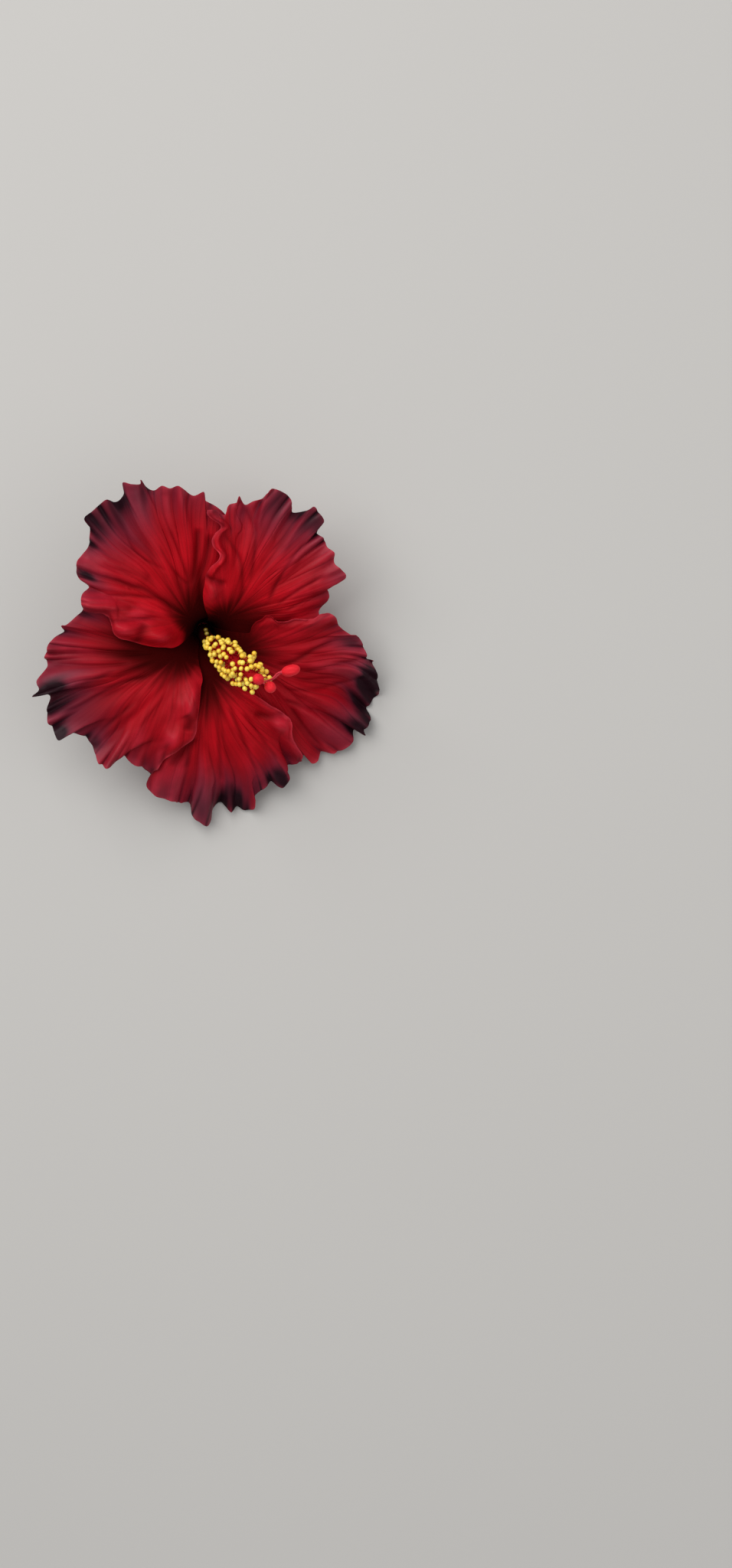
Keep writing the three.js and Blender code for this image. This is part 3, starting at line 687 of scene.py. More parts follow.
@dataclass(frozen=True)
class PetalFinish:
    """Satin petals: crimson in soft streaks, painted maroon shade in the grooves, a painted rosy
    sheen on the ridges, stains that go from wine to near black at the margin, a painted highlight
    on the free edges, and a near-black eye: the real eye, widened by painted shade."""

    deep: Colour = (0.31, 0.0018, 0.005)
    bright: Colour = (0.58, 0.004, 0.012)
    # Painted shade in the grooves and creases.
    groove: Colour = (0.1, 0.0006, 0.0015)
    # Painted sheen on the ridges, puffs and crests.
    rosy: Colour = (0.68, 0.022, 0.05)
    vein: Colour = (0.2, 0.001, 0.003)
    # Laid on by the tone mark: a deeper red outwards, and painted shade.
    outer: Colour = (0.2, 0.0025, 0.007)
    wine: Colour = (0.11, 0.014, 0.03)
    # Painted mauve sheen on the ridges of the stains.
    stain_sheen: Colour = (0.2, 0.035, 0.06)
    black: Colour = (0.014, 0.004, 0.007)
    # The eye: the real dark eye, widened by painted throat shade.
    eye: Colour = (0.042, 0.0002, 0.0002)
    # Painted highlight along the free edges.
    edge: Colour = (0.8, 0.08, 0.12)
    # How much of each is laid on: of the ground by broad streaks, fine streaks and clouds.
    ground_shares: Triple = (0.45, 0.22, 0.33)
    vein_share: float = 0.3
    # Shares of the painted shade in the grooves, then of the painted sheen on the ridges.
    groove_share: float = 0.72
    ridge_shares: Pair = (0.4, 0.1)  # in clouds, everywhere
    wine_share: float = 0.95
    # Share of the painted mauve sheen on stained ridges.
    stain_sheen_share: float = 0.5
    black_stain: Pair = (0.62, 1.05)  # stains between which wine turns to black
    eye_power: float = 1.6
    roughness: float = 0.5
    rough_cloud: float = 0.12
    rough_eye: float = 0.35
    specular: float = 0.05
    gloss: float = 0.3  # the coat's weight on the puffs
    gloss_shares: Triple = (0.85, 0.15, 0.05)  # on ridges, in clouds, everywhere
    gloss_roughness: float = 0.33
    gloss_ior: float = 1.4
    bump_strength: float = 0.3
    relief: float = 0.0001

    def colour(self, w: Wiring, groups: SharedGroups) -> Any:
        """The colour, laid on in steps from the crimson ground to the eye.

        Args:
            w: the material's wiring.
            groups: the shared groups.

        Returns:
            The colour's socket.
        """
        broad = w.group(groups.streaks, across=9.0, along=1.3, low=0.3, high=0.72)
        fine = w.group(groups.streaks, across=42.0, along=3.0, low=0.3, high=0.72)
        cloud = w.group(groups.mottle, scale=120.0, low=0.3, high=0.72)
        ground = 0.0
        for mask, share in zip((broad, fine, cloud), self.ground_shares):
            ground = w.math("MULTIPLY_ADD", mask, share, ground, clamp=True)
        colour = w.blend(ground, self.deep, self.bright)
        # Darker outwards, and all over on some petals: partly deeper red, partly painted shade.
        colour = w.blend(w.mark(Mark.TONE_AND_SHADE), colour, self.outer)
        colour = w.blend(w.math("MULTIPLY", w.mark(Mark.VEIN), self.vein_share), colour, self.vein)
        # Painted shade in the grooves and creases.
        colour = w.blend(w.math("MULTIPLY", w.mark(Mark.GROOVE_SHADE), self.groove_share), colour, self.groove)
        # Painted rosy sheen on the ridges, puffs and crests.
        ridge = w.math("MULTIPLY", w.mark(Mark.RIDGE_SHEEN), w.math("MULTIPLY_ADD", cloud, *self.ridge_shares))
        colour = w.blend(ridge, colour, self.rosy)
        stain = w.mark(Mark.STAIN_AND_SHADE)
        colour = w.blend(w.math("MULTIPLY", stain, self.wine_share, clamp=True), colour, self.wine)
        # Painted mauve sheen where ridges cross the stains.
        stain_sheen_mask = w.math("MULTIPLY", w.math("MULTIPLY", w.mark(Mark.RIDGE_SHEEN), stain), self.stain_sheen_share)
        colour = w.blend(stain_sheen_mask, colour, self.stain_sheen)
        colour = w.blend(w.ramp(stain, *self.black_stain), colour, self.black)
        # Painted highlight on the free edges, kept off the stains.
        clean = w.math("SUBTRACT", 1.0, stain, clamp=True)
        colour = w.blend(w.math("MULTIPLY", w.mark(Mark.EDGE_HIGHLIGHT), clean), colour, self.edge)
        # The dark eye: the real eye, widened by painted throat shade.
        rest = w.math("SUBTRACT", 1.0, w.mark(Mark.EYE_AND_SHADE))
        dark = w.math("SUBTRACT", 1.0, w.math("POWER", rest, self.eye_power))
        return w.blend(dark, colour, self.eye)

    def material(self, groups: SharedGroups) -> bpy.types.Material:
        """Makes the finish's material.

        Args:
            groups: the shared ones.

        Returns:
            The material.
        """
        coat = {"Coat Roughness": self.gloss_roughness, "Coat IOR": self.gloss_ior}
        material, w, out = shader("Petal satin", {"Specular IOR Level": self.specular} | coat)
        w.put(out.inputs["Base Color"], self.colour(w, groups))
        cloud = w.group(groups.mottle, scale=260.0, low=0.3, high=0.7)
        rough = w.math("MULTIPLY_ADD", cloud, self.rough_cloud, self.roughness)
        rough = w.math("MULTIPLY_ADD", w.mark(Mark.EYE_AND_SHADE), self.rough_eye, rough)
        w.put(out.inputs["Roughness"], rough)
        lit = w.math("SUBTRACT", 1.0, w.math("MAXIMUM", w.mark(Mark.EYE_AND_SHADE), w.mark(Mark.GROOVE_SHADE)))
        on_ridges, in_clouds, everywhere = self.gloss_shares
        shine = w.math("MULTIPLY_ADD", cloud, in_clouds, everywhere)
        shine = w.math("MULTIPLY_ADD", w.mark(Mark.RIDGE_SHEEN), on_ridges, shine)
        shine = w.math("MULTIPLY", shine, lit, clamp=True)
        w.put(out.inputs["Coat Weight"], w.math("MULTIPLY", shine, self.gloss))
        grain = w.group(groups.grain, cells=5200.0, clouds=1300.0, share=0.35)
        fine = w.group(groups.streaks, across=120.0, along=6.0, low=0.3, high=0.7)
        height = w.math("ADD", grain, fine)
        bump = w.add("Bump", {"Strength": self.bump_strength, "Distance": self.relief, "Height": height})
        w.put(out.inputs["Normal"], bump.outputs[0])
        return material


@dataclass(frozen=True)
class TissueFinish:
    """A plain plant tissue: two colours in streaks and clouds, a fine grain, and painted shade
    where it lies deep in the throat.
    """

    name: str
    low: Colour
    high: Colour
    roughness: float = 0.45
    specular: float = 0.4
    cells: float = 5000.0
    by_tone: float = 0.0  # the tone's part in the choice of colour
    across: float = 8.0
    along: float = 3.0
    rough_cloud: float = 0.14
    bump_strength: float = 0.6
    relief: float = 0.0001
    throat_shade: Colour = (0.012, 0.001, 0.001)  # painted shade where the eye mark is set, deep in the throat

    def material(self, groups: SharedGroups) -> bpy.types.Material:
        """Makes the finish's material.

        Args:
            groups: the shared ones.

        Returns:
            The material.
        """
        material, w, out = shader(self.name, {"Specular IOR Level": self.specular})
        streak = w.group(groups.streaks, across=self.across, along=self.along)
        cloud = w.group(groups.mottle, scale=420.0, low=0.3, high=0.7)
        share = w.math("MULTIPLY", w.math("ADD", streak, cloud), 0.5 - self.by_tone / 2)
        share = w.math("MULTIPLY_ADD", w.mark(Mark.TONE_AND_SHADE), self.by_tone, share, clamp=True)
        # Painted shade where the eye mark is set, deep in the throat.
        colour = w.blend(w.mark(Mark.EYE_AND_SHADE), w.blend(share, self.low, self.high), self.throat_shade)
        w.put(out.inputs["Base Color"], colour)
        rough = w.math("MULTIPLY_ADD", cloud, self.rough_cloud, self.roughness)
        w.put(out.inputs["Roughness"], rough)
        grain = w.group(groups.grain, cells=self.cells, clouds=1500.0, share=0.7)
        bump = w.add("Bump", {"Strength": self.bump_strength, "Distance": self.relief, "Height": grain})
        w.put(out.inputs["Normal"], bump.outputs[0])
        return material


class Finish(Enum):
    """The finishes of all the pieces."""

    PETAL = PetalFinish()
    ANTHER = TissueFinish(
        "Pollen", (1.0, 0.56, 0.006), (1.0, 0.86, 0.13), 0.27, 0.75, cells=7000.0, by_tone=0.6
    )
    # Its near-black low colour is painted shade low in the throat, laid on by the tone.
    FILAMENT = TissueFinish(
        "Filament red", (0.012, 0.0004, 0.0005), (0.42, 0.006, 0.01), 0.5, 0.1, by_tone=0.95
    )
    STYLE = TissueFinish("Style rose", (0.5, 0.015, 0.03), (0.75, 0.06, 0.09), 0.5, 0.2)
    STIGMA = TissueFinish(
        "Stigma velvet", (0.72, 0.008, 0.018), (0.9, 0.026, 0.04), 0.5, 0.16, cells=9000.0
    )
    CALYX = TissueFinish("Calyx green", (0.05, 0.1, 0.012), (0.17, 0.27, 0.05))
    STALK = TissueFinish("Stalk green", (0.04, 0.09, 0.012), (0.13, 0.19, 0.045))


class Workshop:
    """What every piece needs on its way into the scene: its place and its finish."""

    def __init__(self, rest: Rest) -> None:
        """Makes the finishes, for a flower that rests like this."""
        self.rest, groups = rest, SharedGroups()
        self.materials = {finish: finish.value.material(groups) for finish in Finish}

    def mesh(self, name: str, skin: Skin) -> bpy.types.Mesh:
        """A skin as a mesh, with its values and its flow map.

        Args:
            name: the mesh's name.
            skin: its faces, in the flower's frame.

        Returns:
            The mesh, in the part's frame.
        """
        mesh = bpy.data.meshes.new(name)
        points = self.rest.press(self.rest.place(skin.points))
        mesh.vertices.add(len(points))
        mesh.vertices.foreach_set("co", points.astype(np.float32).ravel())
        corners = np.concatenate([f.ravel() for f in skin.faces]).astype(np.int32)
        sizes = np.concatenate([np.full(len(f), f.shape[1]) for f in skin.faces])
        mesh.loops.add(len(corners))
        mesh.loops.foreach_set("vertex_index", corners)
        mesh.polygons.add(len(sizes))
        mesh.polygons.foreach_set("loop_start", np.r_[0, np.cumsum(sizes)[:-1]].astype(np.int32))
        mesh.polygons.foreach_set("use_smooth", np.ones(len(sizes), bool))
        mesh.update(calc_edges=True)
        uv = mesh.uv_layers.new(name=FLOW)
        uv.data.foreach_set("uv", skin.flow[corners].astype(np.float32).ravel())
        for key, value in skin.values.items():
            attribute = mesh.attributes.new(key.value, "FLOAT", "POINT")
            attribute.data.foreach_set("value", value.astype(np.float32))
        mesh.validate()
        return mesh

    def add(self, name: str, skin: Skin, finish: Finish, slot: Slot, *nodes: str) -> bpy.types.Object:
        """Adds a piece that rides with the flower.

        Args:
            name: its name.
            skin: its faces, in the flower's frame.
            finish: what it is painted with.
            slot: its slot in the record. Not used.
            nodes: those it stands for.

        Returns:
            The piece, which sits at the origin.
        """
        mesh = self.mesh(name, skin)
        mesh.materials.append(self.materials[finish])
        piece = new_object(name, mesh)
        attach(piece, "root")
        if nodes:
            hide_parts(*nodes)
        return piece


# ---- the corolla's common surface ----


@dataclass(frozen=True)
class Corolla:
    """What all five petals share: the funnel, the rise and fall of its rim, pleats and veins."""

    sight: Sight = Sight()
    funnel: Pairs = (
        (3.7, 0.3), (4.7, 5), (6.2, 10), (8.4, 14.4), (12, 17.8), (18, 20.3),
        (28, 21.8), (40, 21.2), (52, 19.4), (66, 17.2),
    )
    rim_radius: float = 55.0
    rim_start: float = 20.0
    rim_heights: Pairs = (
        (-160, -1), (-135, 0), (-112, -2), (-90, -4.9), (-70, 0), (-50, 0), (-31, 1), (-16, -2),
        (12, -1), (35, 1), (60, 2), (90, 0.5), (115, 1.5), (140, 2.5), (165, 0.5),
    )
    rim_growth: float = 1.7
    rim_end: float = 1.15
    layers: Pairs = ((3, 1.15), (8, 1.3), (14, 2.2), (30, 3), (66, 3.4))
    # Waves round the flower, their height at the rim, and their phase.
    pleats: Pairs = ((11, 0.9, 20), (19, 0.9, 200), (31, 0.55, 75), (45, 0.5, 130))
    pleat_start: float = 13.0
    pleat_growth: float = 1.4
    stations: int = 241
    tries: int = 3  # rounds in which meet settles

    def curve(self) -> Arrays:
        """The funnel at close stations.

        Returns:
            Length along it, radius, height and slope.
        """
        spline, s = Spline(self.funnel), np.linspace(0, 1, self.stations)
        r, z = spline(s).T
        length = np.r_[0, np.cumsum(np.hypot(np.diff(r), np.diff(z)))]
        return length, r, z, np.arctan2(np.gradient(z), np.gradient(r))

    def rim_shift(self, r: Array, azimuth: Array) -> Array:
        """The rim's slow rise and fall: its height times a power of the way to the rim."""
        out = np.clip((r - self.rim_start) / (self.rim_radius - self.rim_start), 0, self.rim_end)
        return TurnKnots(self.rim_heights)(azimuth) * out**self.rim_growth

    def pleat_height(self, r: Array, azimuth: Array) -> Array:
        """The broad pleats' height: cosines round the flower that grow outwards."""
        out = np.maximum(0, (r - self.pleat_start) / (self.rim_radius - self.pleat_start))
        return sum(h * cos_deg(n * azimuth + p) for n, h, p in self.pleats) * out**self.pleat_growth

    def meet(self, seen: Array, about: float) -> tuple[Array, Array]:
        """Where places of the outline plane meet the corolla.

        Args:
            seen: X, Y on the plane, in the last axis.
            about: an azimuth that the answers are within half a turn of.

        Returns:
            Radius and azimuth.
        """
        _, radii, heights, _ = self.curve()
        point = self.sight.lift(seen, np.full(seen.shape[:-1], self.sight.height))
        for _ in range(self.tries):
            r = np.hypot(point[..., 0], point[..., 1])
            azimuth = np.degrees(np.arctan2(point[..., 1], point[..., 0]))
            height = np.interp(r, radii, heights) + self.rim_shift(r, azimuth)
            point = self.sight.lift(seen, height)
        r = np.hypot(point[..., 0], point[..., 1])
        azimuth = np.degrees(np.arctan2(point[..., 1], point[..., 0]))
        return r, azimuth + 360 * np.round((about - azimuth) / 360)


# ---- petals ----


@dataclass(frozen=True)
class Spread:
    """Where a petal's grid of points lies on the funnel. Arrays are rows by columns, or one of
    these where the other makes no difference."""

    t: Array  # part of the way across, from the covered edge
    r: Array
    z: Array
    slope: Array
    azimuth: Array
    tooth: Array  # what the margin's teeth add on the outline plane, by column
    standing: Array  # how far each tooth stands out of the mean margin, by column
    outer: Array  # how much of its tooth a point takes part in, by row
    seen: Array  # X, Y on the outline plane, in the last axis
    angle: Array  # in the fan
    distance: Array  # from the fan's point
    to_margin: Array
    to_upper: Array

    @property
    def to_edge(self) -> Array:
        """The way to the nearer of the margin and the top edge."""
        return np.minimum(self.to_margin, self.to_upper)

    def noise(self, cell: Pair, seed: int, shift: float = 0.0) -> Array:
        """A random field over the fan, with cells of these degrees across and millimetres along."""
        return field_noise(self.angle / cell[0] + shift, self.distance / cell[1], seed)


@dataclass(frozen=True)
class Fan:
    """What fans out over a petal from a point in its throat: random folds, narrow grooves, veins
    and the margin's frill.

    A cell is how many degrees across the fan and how many millimetres along it one unit of a
    random field spans.
    """

    azimuth: float
    start: float = 10.0  # the fan's point lies this far along the petal's middle
    bend: float = 5.0  # degrees by which the lines swing to either side
    swing_cell: Pair = (32.0, 17.0)
    # The folds' random waves: cell and height of each.
    waves: Pairs = ((9, 40, 0.9), (4.8, 30, 0.35))
    wave_start: float = 3.0
    wave_reach: float = 34.0  # the waves reach their full height this far on
    wave_limit: float = 1.2  # and grow to this part of it beyond
    groove_cell: Pair = (4.6, 40.0)
    groove_width: float = 0.13
    groove_depth: float = 0.24
    groove_start: Pair = (4.0, 22.0)
    frill_cell: Pair = (4.2, 55.0)
    frill_phase: float = 0.3
    frill_height: float = 1.75
    frill_reach: float = 9.0
    frill_rounding: float = 0.012
    frill_level: float = 0.7  # taken off the swell, so that the frill goes to both sides
    crease_width: float = 0.19
    crest_start: Pair = (0.1, 0.9)
    tooth_rise: float = 0.85  # the frill's rise for each millimetre that a tooth stands out
    # Generations of veins: degrees apart, and the distance at which they begin.
    veins: Pairs = ((5.6, 6), (2.8, 16))
    vein_cell: Pair = (7.0, 15.0)
    vein_wander: float = 0.9
    vein_width: float = 0.16
    vein_blur: float = 3.0
    vein_fade: float = 8.0
    vein_nearest: float = 4.0  # nearer to the fan's point than this, veins get no thinner

    def lines(self, seen: Array) -> tuple[Array, Array]:
        """Where points lie in the fan, whose lines of one angle swing by a slow random field.

        Args:
            seen: X, Y on the outline plane.

        Returns:
            Angle from the petal's middle and distance, about the fan's point.
        """
        ahead = np.array([cos_deg(self.azimuth), sin_deg(self.azimuth)])
        local = seen - self.start * ahead
        along, aside = local @ ahead, local @ np.array([-ahead[1], ahead[0]])
        angle, distance = np.degrees(np.arctan2(aside, along)), np.hypot(along, aside)
        wide, long = self.swing_cell
        swing = field_noise(distance / long, angle / wide, Seed.SWING + round(self.azimuth))
        return angle + self.bend * swing, distance

    def relief(self, s: Spread) -> Arrays:
        """The folds, the grooves and the frill.

        Folds are random waves. Grooves follow the lines where a second field is zero. The frill
        swells between the lines where a third one is, by its rounded magnitude, rises with each
        tooth of the margin, and dies away exponentially from it.

        Args:
            s: the petal's grid.

        Returns:
            Height, how deep in a groove a point lies, and how near it is to a crest of the frill.
        """
        seed, distance = round(self.azimuth), s.distance
        grow = np.clip((distance - self.wave_start) / self.wave_reach, 0, self.wave_limit)
        height = np.zeros_like(distance)
        for k, (across, along, rise) in enumerate(self.waves):
            height += rise * s.noise((across, along), Seed.FOLD + k + seed)
        crossing = s.noise(self.groove_cell, Seed.GROOVE_SHADE + seed) / self.groove_width
        groove = bell(crossing) * smooth(distance, *self.groove_start)
        crossing = s.noise(self.frill_cell, Seed.FRILL + seed, self.frill_phase)
        near_rim = np.exp(-s.to_margin / self.frill_reach)
        swell = 2 * np.sqrt(crossing**2 + self.frill_rounding) - self.frill_level
        frill = (self.frill_height * swell + self.tooth_rise * s.standing) * near_rim
        crease = bell(crossing / self.crease_width) * near_rim
        crest = smooth(swell, *self.crest_start) * near_rim
        return (height + frill) * grow - self.groove_depth * groove, np.maximum(groove, crease), crest

    def vein_lines(self, s: Spread) -> Array:
        """The veins: bell curves of the sine across the fan, where each generation fades in beyond
        its own distance and all wander a little.

        Args:
            s: the petal's grid.

        Returns:
            1 on a vein and 0 off it.
        """
        distance = s.distance
        angle = s.angle + self.vein_wander * s.noise(self.vein_cell, Seed.WANDER + round(self.azimuth))
        lines = np.zeros_like(angle)
        for apart, begin in self.veins:
            offset = sin_deg(angle * 180 / apart)
            width = self.vein_width / np.radians(apart) / np.maximum(distance, self.vein_nearest)
            grown = smooth(distance, begin, begin + self.vein_fade)
            lines = np.maximum(lines, bell(offset / (self.vein_blur * width)) * grown)
        return lines


@dataclass(frozen=True)
class Relief:
    """How far a petal's points move off the funnel, and what its colour marks, painted shade and
    sheen among them, need of it.
    """

    offset: Array
    fan: Array
    pleat: Array
    puffed: Array
    vein: Array
    fan_groove: Array
    groove: Array
    crest: Array


@dataclass(frozen=True)
class Petal:
    """One petal. Its outline, folds and stains are drawn on the outline plane.

    A fold is (half width, height, points), and a groove's height is negative and gets painted
    shade. A stain or a patch of painted sheen is (X, Y, half length along the petal, half width,
    strength), and a puff (X, Y, height, half length, half width). A pair of radii or parts is where
    something sets in and where it is full.
    """

    name: str
    azimuth: float
    margin: Pairs
    upper_edge: Pairs
    lower_edge: Pairs
    ruffle: Pair  # waves across the petal, and their phase
    puffs: Pairs
    folds: tuple[tuple[float, float, Pairs], ...] = ()
    stains: Pairs = ()
    sheen_spots: Pairs = ()  # soft patches of painted rosy sheen
    corolla: Corolla = Corolla()
    columns: int = 340
    rows: int = 140
    row_crowding: float = 1.25  # rows stand closer together towards the margin
    claw_half_width: float = 44.0
    pitch: float = 72.0
    bay_power: float = 6.0  # how close to the top edge its bays stay
    bay_samples: tuple[float, ...] = (-6, -4, -2, 0, 2, 4, 6)  # steps over which its mean is taken
    teeth_mean: float = 0.1
    teeth_samples: int = 9
    teeth_start: float = 0.7
    tooth_limit: float = 1.2
    ruffle_height: float = 1.2
    ruffle_width: tuple[float, float, float, float] = (0.18, 0.42, 0.62, 0.84)
    puff_start: Pair = (0.12, 0.3)
    # Parts across the petal between which the fan sets in and calms, and what is left beyond.
    covered: Pair = (0.1, 0.34)
    covered_share: float = 0.25
    on_top: Pair = (0.74, 0.95)
    on_top_share: float = 0.55
    fold_samples: int = 24
    fold_start: Pair = (0.03, 0.12)
    fold_taper: Pair = (-0.05, 0.2)
    fold_shade: float = 1.6  # how much painted shade a groove gets for each millimetre of its depth
    # The top edge's roll: its height and reach, and the swell behind it.
    roll: Triple = (-0.9, 2.0, 0.5)
    swell_reach: float = 1.6
    swell_place: float = 1.7
    lip_start: Pair = (12.0, 20.0)
    crimp_cell: float = 1.8
    crimp_height: float = 0.4
    crimp_reach: float = 2.0
    crimp_start: Pair = (16.0, 30.0)
    vein_height: float = 0.05
    thickness: float = 0.42
    edge_thickness: float = 0.2
    edge_reach: float = 3.0
    # Painted shade in the low places and grooves, and painted sheen on the high places, the puffs and the
    # frill's crests: shares, and the heights and radii where they set in.
    pleat_shade: float = 0.35
    pleat_shade_start: Pair = (18.0, 36.0)
    sunk_depth: Pair = (0.05, 1.3)
    sunk_share: float = 0.6
    ridge_height: Pair = (0.1, 1.2)
    ridge_start: Pair = (16.0, 36.0)
    puff_light: float = 0.9
    puff_light_height: Pair = (0.6, 3.0)
    crest_light: float = 0.5
    # The stains' torn edge: two cells of the fan's fields, and the second one's share.
    torn_cells: Pairs = ((4, 18), (1.7, 12))
    torn_share: float = 0.4
    torn_stain: float = 0.25
    torn_hem: float = 0.5
    spot_blur: float = 1.3
    hem: Pair = (0.45, 6.0)  # the margin's own stain: how dark, how far in
    stain_pale: float = 0.3  # how much a ridge's painted sheen clears a stain that isn't dark
    # Painted shade in the grooves near the margin, laid in with the stains: its share and reach.
    stain_grooves: float = 0.45
    stain_groove_reach: float = 7.0
    sheen_grooves: float = 0.8  # how much of a painted sheen spot the grooves keep off
    # A painted highlight along the free edges: its strength, reach, and the radii where it sets in.
    edge_light: float = 0.35
    edge_light_reach: float = 0.6
    edge_light_start: Pair = (20.0, 30.0)
    shade: float = 0.4  # how dark the petal grows outwards: partly its deeper red, partly painted shade
    shade_start: Pair = (28.0, 52.0)
    painted_shade: float = 0.0  # painted shade all over the petal
    # The dark eye's radius by degrees from the petal's middle: the real eye, widened with painted
    # shade where the throat's depth or a neighbour's edge shades the petal.
    eye: Pairs = ((-45, 15), (0, 14), (45, 12))
    eye_blur: Pair = (6.0, 7.0)  # a wider eye fades over a longer way
    eye_blur_limits: Pair = (0.3, 1.2)
    eye_cell: Pair = (5.0, 14.0)
    eye_wander: float = 2.0
    eye_fade: Pair = (-5.5, 8.5)
    flow_angle: float = 90.0
    flow_length: float = 60.0

    @property
    def fan(self) -> Fan:
        """The fan of this petal."""
        return Fan(self.azimuth)

    def outline(self, t: Array) -> tuple[Array, Array]:
        """The margin and its mean, in which the teeth are gone.

        Args:
            t: parts of the way along the margin.

        Returns:
            Points of the mean, and what the margin adds to them.
        """
        curve = Spline(self.margin)
        reach = np.minimum(self.teeth_mean, np.minimum(t, 1 - t))[:, None]
        around = t[:, None] + reach * np.linspace(-1, 1, self.teeth_samples)
        mean = curve(around).mean(axis=1)
        return mean, curve(t) - mean

    def corners(self) -> tuple[Array, Array]:
        """Radius and azimuth of the margin's first and last point."""
        ends = np.array([self.margin[0], self.margin[-1]], float)
        return self.corolla.meet(ends, self.azimuth)

    def edges(self, r: Array) -> Arrays:
        """The petal's two long edges.

        Args:
            r: radii.

        Returns:
            Azimuths of the covered edge, of the top edge, and of its mean over a few millimetres.
        """
        claw = self.corolla.funnel[0][0]
        corner_r, corner_a = self.corners()
        lower = ((claw, self.azimuth - self.claw_half_width),)
        lower += tuple((radius, self.azimuth + turn) for radius, turn in self.lower_edge)
        lower += ((corner_r[0], corner_a[0]),)
        upper_r, upper_a = self.corolla.meet(np.array(self.upper_edge, float), self.azimuth)
        upper = ((claw, self.azimuth + self.claw_half_width),)
        upper += tuple(zip(upper_r[::-1], upper_a[::-1])) + ((corner_r[1], corner_a[1]),)
        on_top = Knots(upper)
        mean = sum(on_top(r + step) for step in self.bay_samples) / len(self.bay_samples)
        return Knots(lower)(r), on_top(r), mean

    def spread(self) -> Spread:
        """The petal's grid on the funnel.

        A point goes from claw to margin by v along the funnel's curve, and across by t between
        the two edges' azimuths. Inside the petal the lines follow the top edge's mean, and only
        near that edge its bays.

        Returns:
            The grid.
        """
        c = self.corolla
        t = np.linspace(0, 1, self.columns)[None, :]
        v = (1 - (1 - np.linspace(0, 1, self.rows)) ** self.row_crowding)[:, None]
        mean, tooth = self.outline(t[0])
        rim_r, rim_a = c.meet(mean, self.azimuth)
        lengths, radii, heights, slopes = c.curve()
        rim_length = np.interp(rim_r, radii, lengths)
        length = rim_length * v
        r = np.interp(length, lengths, radii)
        z = np.interp(length, lengths, heights)
        corner_a = self.corners()[1]
        across = (rim_a - corner_a[0]) / (corner_a[1] - corner_a[0])
        lower, upper, mean_upper = self.edges(r)
        mean_upper = mix(mean_upper, upper, v**self.bay_power)
        part = mix(t, across, v)
        azimuth = mix(lower, mean_upper, part) + (upper - mean_upper) * part**self.bay_power
        base = polar(r, azimuth, z + c.rim_shift(r, azimuth))
        outer = smooth(v, self.teeth_start, 1)
        standing = (tooth * mean / np.linalg.norm(mean, axis=1, keepdims=True)).sum(axis=1)
        seen = c.sight.seen(base) + tooth * outer[..., None]
        angle, distance = self.fan.lines(seen)
        slope = np.interp(length, lengths, slopes)
        standing = self.tooth_limit * np.tanh(standing / self.tooth_limit)
        to_margin = rim_length * (1 - v)
        to_upper = np.maximum(r * np.radians(upper - azimuth), 0)
        return Spread(
            t, r, z, slope, azimuth, tooth, standing, outer, seen, angle, distance, to_margin, to_upper
        )

    def ruffle_wave(self, s: Spread) -> Array:
        """The petal's own ruffle: a cosine across the middle of its width that grows with the
        square of the way to the rim.

        Args:
            s: the petal's grid.

        Returns:
            Its height.
        """
        c = self.corolla
        out = np.maximum(0, (s.r - c.pleat_start) / (c.rim_radius - c.pleat_start)) ** 2
        begin, full, fading, end = self.ruffle_width
        window = smooth(s.t, begin, full) * (1 - smooth(s.t, fading, end))
        waves, phase = self.ruffle
        return self.ruffle_height * out * window * cos_deg(360 * waves * s.t + phase)

    def puff_height(self, s: Spread) -> Array:
        """The puffs: bell-shaped swellings.

        Args:
            s: the petal's grid.

        Returns:
            Their height.
        """
        puffed = np.zeros_like(s.r)
        for X, Y, height, along, sideways in self.puffs:
            puff_r, puff_a = self.corolla.meet(np.array([X, Y], float), self.azimuth)
            d_along = (s.r - puff_r) / along
            d_side = s.r * np.radians(s.azimuth - puff_a) / sideways
            puffed = puffed + height * bell(np.hypot(d_along, d_side))
        return puffed * smooth(s.t, *self.puff_start)

    def fold_fields(self, seen: Array) -> tuple[Array, Array]:
        """The listed folds: bell curves of the distance to a line, which fade at its ends.

        Args:
            seen: X, Y on the outline plane.

        Returns:
            Their height, and how much painted shade a point gets in their grooves.
        """
        height, groove = np.zeros(seen.shape[:-1]), np.zeros(seen.shape[:-1])
        begin, full = self.fold_taper
        for half_width, rise, line in self.folds:
            path = Spline(line)(np.linspace(0, 1, self.fold_samples))
            starts, steps = path[:-1], np.diff(path, axis=0)
            near, along = np.full(seen.shape[:-1], np.inf), np.zeros(seen.shape[:-1])
            for k, (start, step) in enumerate(zip(starts, steps)):
                s = np.clip((seen - start) @ step / (step @ step), 0, 1)
                distance = np.linalg.norm(seen - start - s[..., None] * step, axis=-1)
                closer = distance < near
                near = np.where(closer, distance, near)
                along = np.where(closer, (k + s) / len(steps), along)
            taper = smooth(along, begin, full) * (1 - smooth(along, 1 - full, 1 - begin))
            shape = bell(near / half_width) * taper
            height += rise * shape
            groove = np.maximum(groove, shape * np.clip(-rise * self.fold_shade, 0, 1))
        return height, groove

